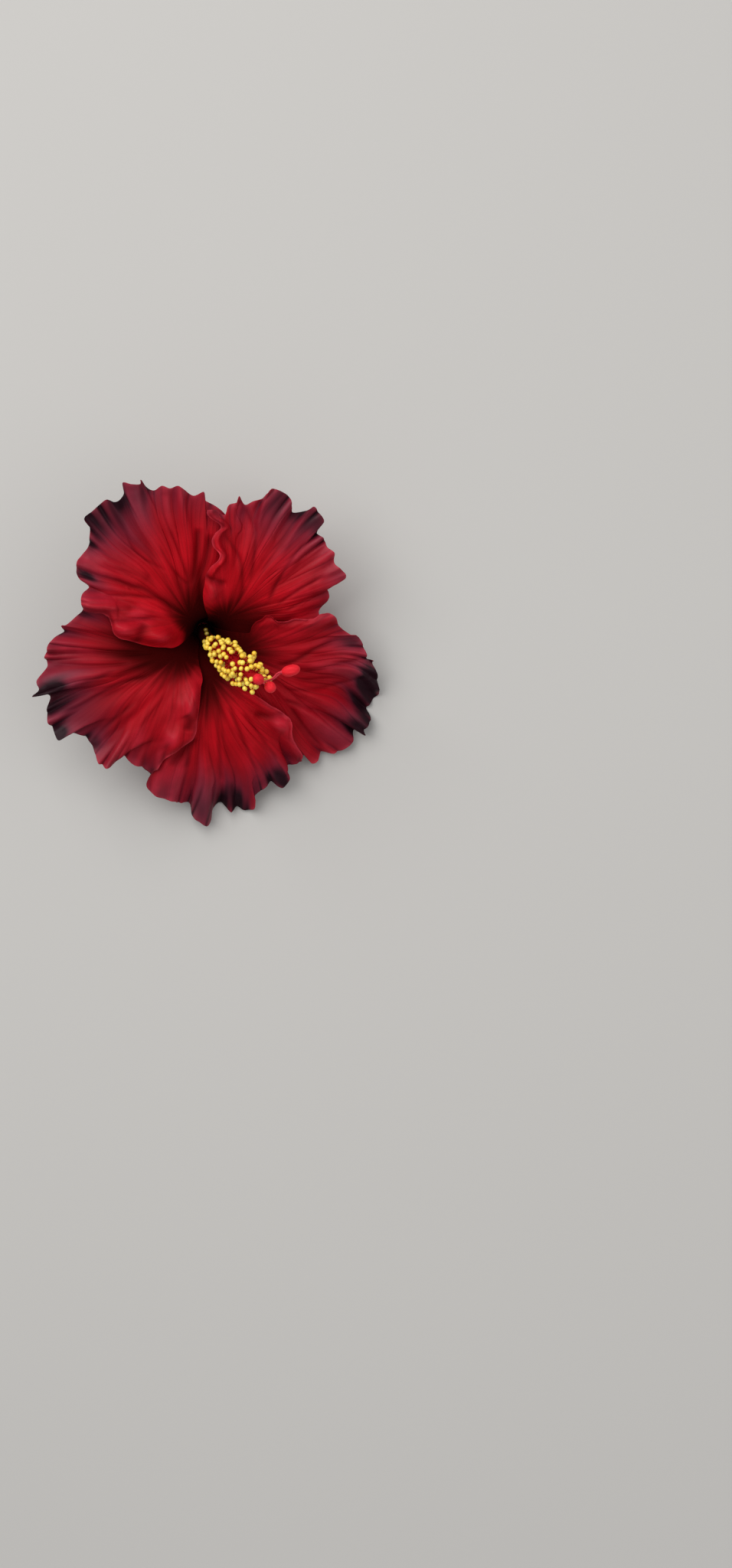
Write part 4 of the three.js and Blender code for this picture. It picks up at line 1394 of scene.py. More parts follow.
    def lip(self, s: Spread) -> Array:
        """The top edge's roll, a bell curve with a swell behind it, and the crimp of both free
        edges, a fine random field that dies away exponentially from them.

        Args:
            s: the petal's grid.

        Returns:
            Their height.
        """
        rolled, reach, swell = self.roll
        behind = s.to_upper / reach / self.swell_reach - self.swell_place
        roll = rolled * bell(s.to_upper / reach) + swell * bell(behind)
        x, y = s.seen[..., 0] / self.crimp_cell, s.seen[..., 1] / self.crimp_cell
        crimp = field_noise(x, y, Seed.CRIMP) * np.exp(-s.to_edge / self.crimp_reach)
        crimp = crimp * self.crimp_height * smooth(s.r, *self.crimp_start)
        return roll * smooth(s.r, *self.lip_start) + crimp

    def relief(self, s: Spread) -> Relief:
        """Everything that moves the petal off the funnel, along the funnel's normal. The layer
        rises steadily from the petal's covered side to its top side.

        Args:
            s: the petal's grid.

        Returns:
            The sum, and its parts.
        """
        c, fan = self.corolla, self.fan
        fan_height, fan_groove, crest = fan.relief(s)
        covered, on_top = smooth(s.t, *self.covered), smooth(s.t, *self.on_top)
        fan_height = fan_height * mix(self.covered_share, 1, covered) * mix(1, self.on_top_share, on_top)
        fold, groove = self.fold_fields(s.seen)
        vein = fan.vein_lines(s)
        layer = Knots(c.layers)(s.r) * (s.azimuth - self.azimuth) / self.pitch
        pleat, puffed = c.pleat_height(s.r, s.azimuth), self.puff_height(s)
        detail = fold * smooth(s.t, *self.fold_start) + fan_height + self.lip(s)
        offset = layer + pleat + self.ruffle_wave(s) + puffed + detail + self.vein_height * vein
        return Relief(offset, fan_height, pleat, puffed, vein, fan_groove, groove, crest)

    def spots(self, seen: Array, marks: Pairs, spread: Array) -> Array:
        """How strongly bell-shaped spots cover each point.

        Args:
            seen: X, Y on the outline plane.
            marks: the spots.
            spread: factor on the distance from its middle.

        Returns:
            0 to 1: each spot covers its share of what the others leave clear.
        """
        total = np.zeros(seen.shape[:-1])
        for X, Y, along, sideways, strength in marks:
            outward = unit((X, Y))
            local = seen - np.array([X, Y], float)
            d_along = local @ outward
            d_side = local @ np.array([-outward[1], outward[0]])
            spot = bell(np.hypot(d_along / along, d_side / sideways) / self.spot_blur * spread)
            total = 1 - (1 - total) * (1 - np.clip(strength * spot, 0, 1))
        return total

    def stain_field(self, s: Spread) -> Array:
        """The margin's stains: bell curves about their places, torn a little along the fan, over a
        thin dark hem.

        Args:
            s: the petal's grid.

        Returns:
            How dark they are, 0 to 1.
        """
        broad, fine = self.torn_cells
        torn = s.noise(broad, Seed.TORN) + self.torn_share * s.noise(fine, Seed.TORN_FINE)
        total = self.spots(s.seen, self.stains, 1 + self.torn_stain * torn)
        dark, reach = self.hem
        hem = dark * np.exp(-s.to_margin / reach) * (1 + self.torn_hem * torn)
        return np.clip(1 - (1 - total) * (1 - np.clip(hem, 0, 1)), 0, 1)

    def eye_field(self, s: Spread) -> Array:
        """The dark eye, the real one widened by painted shade: it ends at its own radius for each
        azimuth, wanders by a random field, and fades over a longer way where it is wide.

        Args:
            s: the petal's grid.

        Returns:
            How dark it is, 0 to 1.
        """
        edge = Knots(self.eye)(s.azimuth - self.azimuth)
        begin, span = self.eye_blur
        blur = np.clip((edge - begin) / span, *self.eye_blur_limits)
        wander = self.eye_wander * blur * s.noise(self.eye_cell, Seed.EYE_AND_SHADE)
        return 1 - smooth((s.r - (edge + wander)) / blur, *self.eye_fade)

    def marks(self, s: Spread, relief: Relief) -> dict[Mark, Array]:
        """What each point's colour depends on.

        Args:
            s: the petal's grid.
            relief: what moves it off the funnel.

        Returns:
            The values, by mark.
        """
        # Painted shade in the low places and grooves; painted sheen on the high places, puffs, crests and
        # sheen spots.
        height = relief.fan + self.pleat_shade * relief.pleat * smooth(s.r, *self.pleat_shade_start)
        sunk = smooth(-height, *self.sunk_depth) * self.sunk_share
        sunk = sunk + (1 - self.sunk_share) * relief.fan_groove
        ridge = smooth(height, *self.ridge_height) * smooth(s.r, *self.ridge_start)
        ridge = np.maximum(ridge, self.puff_light * smooth(relief.puffed, *self.puff_light_height))
        stain = self.stain_field(s)
        # A ridge's painted sheen clears a stain that isn't dark.
        pale = self.stain_pale * ridge * (1 - stain**3)
        # Painted shade in the grooves near the margin, laid in with the stains.
        in_grooves = self.stain_grooves * sunk * np.exp(-s.to_margin / self.stain_groove_reach)
        sheen_spot = self.spots(s.seen, self.sheen_spots, 1.0) * (1 - self.sheen_grooves * sunk)
        # Painted highlight along the free edges.
        rim = self.edge_light * np.exp(-s.to_edge / self.edge_light_reach)
        return {
            Mark.GROOVE_SHADE: np.clip(np.maximum(sunk, relief.groove), 0, 1),
            Mark.RIDGE_SHEEN: 1 - (1 - ridge) * (1 - sheen_spot) * (1 - self.crest_light * relief.crest),
            Mark.VEIN: relief.vein,
            Mark.STAIN_AND_SHADE: np.clip(stain * (1 - pale) + in_grooves, 0, 1),
            # The real eye, widened by painted throat shade.
            Mark.EYE_AND_SHADE: self.eye_field(s),
            Mark.EDGE_HIGHLIGHT: rim * smooth(s.r, *self.edge_light_start),
            # Painted shade all over, and a darkening outwards that is partly deeper red, partly painted
            # shade.
            Mark.TONE_AND_SHADE: self.painted_shade + self.shade * smooth(s.r, *self.shade_start),
        }

    def skin(self) -> Skin:
        """The petal as a closed blade: the grid on the funnel, moved along the funnel's normal by
        its relief, and near the margin also by its teeth.

        Returns:
            The blade.
        """
        s, c = self.spread(), self.corolla
        relief = self.relief(s)
        height = s.z + relief.offset * np.cos(s.slope) + c.rim_shift(s.r, s.azimuth)
        inward = s.r - relief.offset * np.sin(s.slope)
        middle = polar(inward, s.azimuth, height) + (s.tooth @ c.sight.frame[:2]) * s.outer[..., None]
        flow = np.stack([s.angle / self.flow_angle + 0.5, s.distance / self.flow_length], -1)
        inner = 1 - np.exp(-s.to_edge / self.edge_reach)
        thickness = mix(self.edge_thickness, self.thickness, inner)
        return blade(middle, thickness, self.marks(s, relief), flow)

    def build(self, shop: Workshop) -> Pieces:
        """Adds the petal to the scene, and returns its piece."""
        name = self.name + "_satin"
        return [shop.add(name, self.skin(), Finish.PETAL, Slot.PETAL, self.name)]


UPPER_LEFT = Petal(
    "petal_upper_left", 126,
    margin=(
        (8, 38), (5.5, 41.5), (2.5, 44), (-1, 46), (-1.3, 48.5), (-4.6, 47.3), (-8, 49.5), (-9.8, 50.4),
        (-12.2, 49.6), (-14.8, 50.4), (-17.3, 48.9), (-19.8, 50), (-21.5, 52.3), (-21.8, 50.9),
        (-24.5, 50.9), (-27.3, 51.3), (-27, 48), (-28.4, 45.8), (-30.1, 45.2), (-32.3, 46), (-34.6, 44.4),
        (-37, 42.2), (-39.7, 39.8), (-37.9, 37), (-38, 33.6), (-38.4, 30.8), (-40.5, 28), (-41.7, 26),
        (-41.6, 21.4), (-38.3, 18.1), (-40.1, 16), (-40.3, 13), (-39.5, 10.6),
    ),
    upper_edge=(
        (-36.3, 9.9), (-32.8, 9), (-31.2, 6.5), (-30.1, 3), (-25.8, 1), (-20.9, -0.5), (-15, -1.1),
        (-10, -0.3),
    ),
    lower_edge=((14, -45), (27, -47)),
    ruffle=(5, 40),
    roll=(-1.6, 1.5, 0.9),
    shade=0.45,
    eye=((-45, 16), (-20, 16.5), (0, 16), (15, 13.5), (28, 9.5), (50, 8)),
    puffs=(
        (-27.6, 5.4, 3, 4.2, 2.8), (-16.6, 3, 2.8, 3.8, 2.6), (-37, 12, 1.6, 5, 2.5),
        (-40, 17.5, -1.2, 4, 2.5),
    ),
    folds=(
        (1.0, -0.7, ((-40, 23.5), (-31.9, 21), (-24.7, 18.5), (-19.5, 16.8), (-10.4, 9.9))),
        (1.3, -0.8, ((-3, 37), (-3.5, 29.6), (-4.9, 18))),
        (1.6, -1.0, ((-2.2, 10), (-2.4, 20), (-0.8, 25.5), (0.5, 31), (1, 35))),
        (0.6, -0.4, ((-15.8, 31.4), (-10.9, 23), (-5.9, 18))),
        (0.6, -0.4, ((-12.1, 36.5), (-9.1, 28.9), (-6.2, 19.8))),
        (0.6, -0.4, ((-26.4, 35.3), (-23.2, 28.9), (-13.3, 23))),
        (1.6, 0.6, ((-40.7, 26.4), (-27.7, 24.7), (-19.5, 20.2))),
        (0.7, -0.45, ((-37.5, 14.8), (-25.7, 15.3), (-14.8, 13.6), (-11.1, 9.4))),
        (1.3, 0.7, ((-40, 12), (-33, 12), (-25, 11.3))),
        (0.8, -0.7, ((-34, 7.6), (-30, 7.5), (-24, 8), (-16, 8.2))),
        (1.8, -0.7, ((-23.5, -0.5), (-22.4, 3), (-20.5, 7))),
    ),
    stains=(
        (-36, 40, 6, 4.5, 0.66), (-22.7, 48.5, 6, 4.5, 0.72), (-29, 43.5, 6, 6, 0.42),
        (-38.5, 21.7, 4.5, 1.6, 1), (-27, 37, 7, 7, 0.4), (-37, 31, 3, 6, 0.45), (-8, 46.5, 4, 4, 0.3),
    ),
    sheen_spots=(
        (-32.4, 13, 9, 3, 0.8), (-26.5, 10.4, 7, 2, 0.7), (-36, 28, 7, 4, 0.6), (-26, 33, 6, 4, 0.45),
        (-32.5, 40.5, 6, 6, 0.6), (-23, 45, 5, 3, 0.4),
    ),
)
UPPER_RIGHT = Petal(
    "petal_upper_right", 54,
    margin=(
        (35, 1), (37, 4), (37, 7.5), (36.1, 10.5), (38.9, 13.8), (39.2, 16), (38.4, 18.4), (41.5, 20),
        (43.8, 20.8), (44, 22.4), (42.2, 24.2), (40.6, 25.8), (40.2, 29.2), (38.3, 31), (37.6, 33.4),
        (35.5, 35.2), (35.9, 37.3), (37.2, 39.4), (35.5, 41.9), (33.7, 44), (31.5, 42.6), (27.7, 42),
        (26.8, 44), (26.3, 46.4), (24.7, 48), (20.3, 49.7), (18.5, 48.2), (17.4, 46.5), (14.5, 45.6),
        (11.8, 44.5), (9.6, 47.2), (9, 45.2), (6.5, 44.3), (5.2, 41.2), (2.7, 42.7), (-0.4, 42.8),
    ),
    upper_edge=(
        (0.4, 40.5), (3.9, 37.7), (2.1, 35.5), (1.4, 31.5), (3.5, 28.6), (0.4, 24.6), (-1, 21),
        (-1.2, 12.3), (-0.6, 7),
    ),
    lower_edge=((14, -46), (25, -50)),
    ruffle=(5, 110),
    roll=(0.3, 0.6, 1.6),
    shade=0.4,
    hem=(0.35, 6),
    eye=((-45, 21), (-30, 19.5), (-10, 16), (0, 15), (20, 11.5), (40, 10)),
    lip_start=(20, 25),
    puffs=(
        (3.2, 38.5, 1.4, 3, 1.6), (3.4, 28.6, 1.8, 3, 1.8), (1.5, 17.5, 2.4, 4, 2.6),
        (10.5, 45, 1.4, 3, 1.6),
    ),
    folds=(
        (1.1, -1.2, ((-2.6, 23.8), (-0.6, 21.8), (2.4, 20.4), (6, 19))),
        (0.8, -0.5, ((4.9, 35.3), (10.1, 27.2), (10.9, 16.8), (8.4, 10.9))),
        (0.8, -0.45, ((12.1, 44), (15.3, 35.3), (13.6, 19.5))),
        (0.8, -0.5, ((31.9, 33), (23.7, 22), (19.5, 13))),
        (0.7, -0.45, ((37.5, 22), (28.9, 16.8), (22, 11.9))),
        (0.7, -0.4, ((38.3, 17.3), (32.8, 14.3), (25, 10))),
    ),
    stains=(
        (23.7, 45, 7, 4.5, 0.75), (34.8, 40.6, 5, 3.4, 0.82), (30, 35, 7, 4, 0.5), (19, 42, 7, 3, 0.45),
        (36.5, 36, 3, 4, 0.75), (41.5, 21.5, 3, 3, 0.4), (10.5, 42, 3, 1.5, 0.6),
    ),
    sheen_spots=((34, 22, 8, 5, 0.4), (23, 36, 8, 5, 0.35), (2.4, 16, 4, 3, 0.3)),
)
RIGHT = Petal(
    "petal_right", -18,
    margin=(
        (24, -38), (27, -39), (30, -37.2), (32, -36.3), (33.2, -38.7), (34.4, -39.1), (35.7, -38.3),
        (37.2, -35.9), (41, -35.9), (43.6, -34.4), (46.6, -32.2), (47.2, -29.6), (48.2, -28.7),
        (50.6, -29.7), (49.9, -27.6), (51.4, -25.3), (52.5, -23.8), (52.1, -21.2), (55.3, -17.6),
        (55.3, -15.6), (54.3, -12.2), (53.5, -9), (52.5, -6.5), (53.1, -5.4), (51, -4.8), (50.1, -2.4),
        (49, 1), (47.2, 3), (45, 3.4), (42, 5.8), (40.5, 8.8), (38.4, 10.2), (36, 9.9),
    ),
    upper_edge=((33, 8.3), (28, 8.4), (22.5, 7.8), (20, 9.7), (17.5, 8.6), (14.6, 6.2), (13.2, 3.5)),
    lower_edge=((14, -44), (30, -43)),
    ruffle=(5, 250),
    roll=(0.9, 0.7, 0.3),
    shade=0.0,
    painted_shade=0.45,
    hem=(0.3, 5),
    eye=((-45, 15), (0, 17), (20, 16), (40, 13.5)),
    puffs=((21, 7, 1.0, 4, 2), (32.5, 6.6, 1.2, 4.5, 2), (38.5, 8, 1.2, 3, 2.5)),
    folds=(
        (0.9, -0.65, ((41.5, 1.2), (34, -2), (28.4, -5.4), (22, -7.4))),
        (0.8, -0.5, ((50, -4.2), (39.3, -7.2), (30, -9.5))),
        (0.8, -0.4, ((52.6, -9.6), (38.3, -14.6), (24, -15))),
        (0.8, -0.5, ((48, -27), (33.3, -21.7), (24.4, -18.3))),
        (0.8, -0.5, ((37.3, -34.6), (31.1, -27.4), (26.7, -20.7))),
    ),
    stains=(
        (52.4, -11.8, 4.5, 5, 1.5), (49, -26.4, 5, 4, 0.95), (46, 0.5, 5, 2.4, 0.85),
        (51, -19, 4, 4.5, 0.8), (43, -8, 6, 2, 0.3), (51, -5.5, 3, 3, 0.7), (41, -30.5, 6, 3, 0.45),
    ),
    sheen_spots=((43.5, -9.5, 6, 2.6, 0.7), (45, -2.5, 5, 2, 0.6), (36.5, -25, 8, 4, 0.65)),
)
BOTTOM = Petal(
    "petal_bottom", -90,
    margin=(
        (-23, -36), (-22.6, -39), (-20.8, -41.5), (-18.6, -43.6), (-20, -46.3), (-17.8, -48.1),
        (-13.6, -50), (-11, -50.5), (-9.8, -51.4), (-6.4, -51.8), (-5.6, -53.2), (-5.3, -55.3),
        (-3.2, -56), (-0.8, -57.5), (0.7, -57), (1.4, -53.7), (4, -51.9), (5.4, -52.6), (7.3, -54),
        (9.2, -53.5), (12, -54.9), (14.6, -53.7), (15, -51), (15, -48.8), (17.5, -46.2), (20.2, -44.3),
        (23.7, -46.1), (25.9, -43.2), (25.2, -40), (28.2, -38.9), (29.6, -37),
    ),
    upper_edge=(
        (29.6, -34.8), (27.6, -31.5), (26.4, -28), (26.4, -24.8), (24.4, -22.4), (20.5, -19.8),
        (14.3, -16), (9.4, -13.1),
    ),
    lower_edge=((14, -44), (30, -37)),
    ruffle=(5, 10),
    roll=(0.9, 0.7, 0.5),
    shade=0.45,
    hem=(0.4, 7),
    eye=((-45, 18), (-10, 20), (0, 20), (15, 16), (35, 13.5), (50, 12)),
    puffs=((22.8, -25, 2.8, 3.2, 2.6), (18.5, -18.2, 1.6, 3, 2.2), (28, -34.5, 1.2, 3, 2)),
    folds=(
        (0.8, -0.5, ((6.7, -20.2), (10.9, -30.4), (15.8, -41.7))),
        (0.7, -0.45, ((10.9, -21.7), (18, -31.4), (22.5, -37.5))),
        (0.8, -0.45, ((2.7, -21.7), (3.7, -35.6), (4.2, -44.7))),
        (1.0, -0.6, ((-5.4, -26.4), (-7.2, -40.7))),
        (1.8, -1.0, ((-4.5, -30), (-8, -34.5), (-12, -40))),
        (1.3, -1.1, ((14.5, -22.4), (19, -23.3), (22.6, -22.6), (25.8, -21.2))),
    ),
    stains=(
        (-2.2, -53, 7, 4.4, 0.85), (8.9, -51, 5, 3, 0.95), (22.6, -43, 4, 2.8, 1), (3.2, -48, 5, 8, 0.55),
        (-14, -48, 4, 4, 0.35), (18, -44, 4, 4, 0.55),
    ),
    sheen_spots=((24, -25, 3, 2.4, 0.9), (20, -18.4, 2.5, 2, 0.6)),
)
LEFT = Petal(
    "petal_left", -162,
    margin=(
        (-35, 14), (-37.5, 13.6), (-39.4, 12.2), (-40.6, 10), (-42.6, 8.2), (-45.5, 5.7), (-47.3, 5.2),
        (-46.6, 3.1), (-49.4, 1.5), (-51.3, -0.5), (-51.6, -2.4), (-52.7, -5), (-51.7, -7.7),
        (-54.6, -11.3), (-53.8, -14), (-56.1, -16.4), (-53.2, -16), (-50.9, -17.7), (-51.8, -21.2),
        (-51.2, -25), (-49.5, -28), (-47.9, -30.5), (-45, -28.5), (-40.5, -29.5), (-37.6, -31.8),
        (-36.4, -34.6), (-34.9, -37.8), (-31.8, -38.7), (-29.2, -37), (-27, -35.7), (-24.5, -38),
        (-20.8, -39.7), (-18.2, -42.2),
    ),
    upper_edge=(
        (-16.5, -40), (-14.2, -37), (-10.5, -34.2), (-7, -31.8), (-4.6, -29.4), (-3.8, -25), (-3.2, -20),
        (-2.7, -14.5), (-2.3, -11),
    ),
    lower_edge=((14, -43), (26, -42)),
    ruffle=(5, 330),
    roll=(-0.7, 0.9, 0.6),
    shade=0.7,
    painted_shade=0.33,
    hem=(0.45, 6),
    eye=((-40, 27), (-15, 28), (0, 24), (12, 18), (25, 15), (40, 11.5), (55, 9.5)),
    puffs=(
        (-6.5, -19.5, 2.8, 5, 3.6), (-12, -30, 2.4, 3.4, 2.6), (-15.5, -39, 1.2, 3, 2),
        (-36, 3.5, -1.6, 6, 1.8),
    ),
    folds=(
        (1.4, -0.7, ((-50.6, -1.2), (-39.3, -3), (-22.7, -4.2), (-14, -3))),
        (0.7, -0.45, ((-51.1, -6.9), (-36.8, -7.4), (-24.7, -6.7))),
        (1.0, -0.6, ((-52.3, -14.3), (-42.5, -13.6), (-29.4, -8.6))),
        (0.9, -0.6, ((-50.6, -23), (-41.7, -20.5), (-28.4, -13.1), (-18.5, -10.6))),
        (0.9, -0.55, ((-36.8, -31.4), (-33.3, -27.2), (-22.7, -18))),
        (1.7, -1.0, ((-7.6, -22.5), (-6.4, -25.2), (-6.8, -28))),
    ),
    stains=(
        (-50, -14, 6.5, 3, 1.2), (-51, -21, 4, 2.2, 1), (-48.2, -28.6, 4, 2.4, 1.3),
        (-36.4, -32.5, 4, 2.4, 0.8), (-45, -20.5, 8, 7, 0.65), (-39.5, 9, 5, 1.6, 0.7),
    ),
    sheen_spots=((-8, -19, 7, 3, 0.5), (-46, 3, 4, 4, 0.5), (-48, -5, 6, 4, 0.45)),
)

# Each petal lies over its counter-clockwise neighbour.
PETALS = (UPPER_LEFT, UPPER_RIGHT, RIGHT, BOTTOM, LEFT)


# ---- the column, the pistil, the calyx and the stalk ----


@dataclass(frozen=True)
class Column:
    """The staminal column: a tube, and a spiral of filaments with an anther on each."""

    path: Spline = Spline(
        ((0, 0, 0.2), (0, 0, 9), (2.6, -1.2, 22), (8.4, -3.6, 35.5), (13.9, -6.2, 46.8))
    )
    radii: Knots = Knots(((0, 2.25), (0.3, 1.95), (1, 1.55)))
    bore: float = 0.92
    count: int = 172
    candidates: int = 5000
    apart: float = 1.58  # least distance between two anthers' middles
    span: Pair = (0.26, 0.985)
    reach: Knots = Knots(((0, 1.9), (0.15, 2.9), (0.4, 4.7), (0.8, 5.1), (1, 3.9)))
    nearness: Pair = (0.5, 1.12)
    # Lone anthers deep in the throat: part of the tube's length, turn, distance from its middle.
    lone: Pairs = ((0.2, 114, 3), (0.25, 122, 2.6))
    crowding: float = 0.6  # under 1, more anthers stand far out
    sweep: float = 1.9  # an anther stands this far ahead of its filament's root
    sweep_range: Pair = (0.8, 1.15)
    root: float = 0.25  # a filament begins this far inside the tube
    filament: float = 0.2
    filament_taper: tuple[float, ...] = (1.25, 1, 0.9, 0.85, 0.8)
    filament_lit: Pair = (8.0, 22.0)  # heights between which the filaments leave their painted throat shade
    filament_sides: int = 5
    elbow: float = 0.5
    anther: float = 0.8
    anther_range: Pair = (0.92, 1.12)
    anther_flatness: tuple[float, ...] = (1.04, 1.0, 0.94)
    anther_rings: tuple[float, int, int] = (76.0, 7, 10)  # last latitude, rings, sides
    furrow: Pair = (0.05, 0.22)  # its depth and width
    furrow_start: Pair = (-0.3, 0.7)
    # Painted shade on the anthers deep in the throat: how strong, and the heights where it fades.
    anther_throat_shade: float = 0.8
    anther_lit: Pair = (13.0, 20.0)
    tube_rings: int = 60
    tube_sides: int = 28
    # Parts of the tube's length between which its painted throat shade fades.
    tube_lit: Pair = (0.3, 0.55)
    rib: float = 0.025
    ribs: int = 5
    samples: int = 400
    reference: tuple[float, ...] = (0.2, 0.95, 0.1)

    def frames(self, s: Array) -> Arrays:
        """The middle line and its directions.

        Args:
            s: parts of its length.

        Returns:
            Points, tangents, and two directions square to them.
        """
        fine = np.linspace(0, 1, self.samples)
        points = self.path.evenly(fine)
        return tuple(
            np.stack([np.interp(s, fine, column[:, k]) for k in range(3)], -1)
            for column in (points, *path_frames(points, self.reference))
        )

    def tube_skin(self) -> Skin:
        """The tube's wall: faintly ribbed rings up its outside and down its bore.

        Returns:
            The wall as one closed ring of rings.
        """
        s = np.linspace(0, 1, self.tube_rings)
        points, _, first, second = self.frames(s)
        turn = turns(self.tube_sides)
        circle = spokes(first, second, turn)
        ribs = 1 + self.rib * cos_deg(turn * self.ribs)
        outer = points[:, None] + circle * (self.radii(s)[:, None] * ribs)[..., None]
        inner = points[:, None] + circle * self.bore
        rings = np.concatenate([outer, inner[::-1]])
        count, sides = rings.shape[:2]
        faces = grid_faces(count + 1, sides, wrap=True) % (count * sides)
        j, i = np.meshgrid(np.linspace(0, 2, count), np.abs(np.linspace(-1, 1, sides)), indexing="ij")
        # Painted shade low in the throat, laid on by the tone mark.
        lit = smooth(np.r_[s, s[::-1]], *self.tube_lit)[:, None] * np.ones(sides)
        flow = np.stack([i, j], -1).reshape(-1, 2)
        return Skin(rings.reshape(-1, 3), [faces], {Mark.TONE_AND_SHADE: lit.ravel()}, flow)

    def stand(self, s: Array, turn: Array, distance: Array, lift: Array) -> Arrays:
        """Stamens on the tube.

        Args:
            s: parts of the tube's length.
            turn: degrees round it.
            distance: from its middle line to each anther's middle.
            lift: how far ahead of its root each anther stands.

        Returns:
            Roots, the anthers' middles, and their outward ways.
        """
        points, tangents, first, second = self.frames(s)
        outward = first * cos_deg(turn)[:, None] + second * sin_deg(turn)[:, None]
        roots = points + outward * (self.radii(s) - self.root)[:, None]
        return roots, points + outward * distance[:, None] + tangents * lift[:, None], outward

    def places(self) -> Arrays:
        """All the stamens. Of many random candidates each is kept in turn if it lies far enough
        from those kept before. The lone ones come last.

        Returns:
            The same as stand.
        """
        rng = np.random.default_rng(Seed.STAMENS)
        along = rng.uniform(0, 1, self.candidates)
        turn = rng.uniform(0, 360, self.candidates)
        near = mix(*self.nearness, rng.uniform(0, 1, self.candidates) ** self.crowding)
        lift = self.sweep * rng.uniform(*self.sweep_range, self.candidates)
        many = self.stand(mix(*self.span, along), turn, self.reach(along) * near, lift)
        kept: list[int] = []
        for k, middle in enumerate(many[1]):
            clear = np.linalg.norm(many[1][kept] - middle, axis=1) > self.apart
            if len(kept) < self.count and np.all(clear):
                kept.append(k)
        s, turn, distance = np.array(self.lone, float).T
        few = self.stand(s, turn, distance, np.full(len(s), self.sweep))
        return tuple(np.concatenate([a[kept], b]) for a, b in zip(many, few))

    def filament_skin(self) -> Skin:
        """The filaments: quadratic Bezier curves that leave the tube square to it and bend to
        their anthers.

        Returns:
            All of them as one skin.
        """
        roots, tips, outward = self.places()
        # Painted shade on the filaments low in the throat, laid on by the tone mark.
        out_of_shade = smooth(roots[:, 2], *self.filament_lit)
        elbow = roots + outward * np.linalg.norm(tips - roots, axis=1, keepdims=True) * self.elbow
        radii = self.filament * np.array(self.filament_taper)
        s = np.linspace(0, 1, len(radii))[:, None]
        stems = []
        for root, bend, tip, tone in zip(roots, elbow, tips, out_of_shade):
            line = (1 - s) ** 2 * root + 2 * s * (1 - s) * bend + s**2 * tip
            stems.append(tube(line, radii, self.filament_sides, tone))
        return Skin.joined(stems)

    def anther_skin(self) -> Skin:
        """Plump anthers: balls, a little flat, whose radius falls by a bell curve about a furrow
        across the crown. Each has its own tone, and those deep in the throat get painted shade.

        Returns:
            All of them as one skin.
        """
        rng = np.random.default_rng(Seed.ANTHERS)
        _, tips, outward = self.places()
        last, rings, sides = self.anther_rings
        latitude = np.linspace(-last, last, rings)[:, None]
        ball = polar(cos_deg(latitude), turns(sides), sin_deg(latitude))
        depth, width = self.furrow
        furrow = 1 - depth * bell(ball[..., 0] / width) * smooth(ball[..., 2], *self.furrow_start)
        ball = ball * furrow[..., None] * np.array(self.anther_flatness)
        beads = []
        for tip, out in zip(tips, outward):
            side = unit(np.cross(out, rng.normal(size=3)))
            frame = np.array([side, np.cross(out, side), out])
            size = self.anther * rng.uniform(*self.anther_range)
            bead = loft(tip + (ball * size) @ frame, rng.uniform(0, 1))
            # Painted shade on the anthers deep in the throat.
            dim = self.anther_throat_shade * (1 - smooth(tip[2], *self.anther_lit))
            bead.values[Mark.EYE_AND_SHADE] = np.full(len(bead.points), dim)
            beads.append(bead)
        return Skin.joined(beads)

    def build(self, shop: Workshop) -> Pieces:
        """Adds the anthers, the tube and the filaments, and returns them."""
        return [
            shop.add("anthers", self.anther_skin(), Finish.ANTHER, Slot.ANTHER, "staminal_column"),
            shop.add("column_tube", self.tube_skin(), Finish.FILAMENT, Slot.STYLE),
            shop.add("filaments", self.filament_skin(), Finish.FILAMENT, Slot.STYLE),
        ]


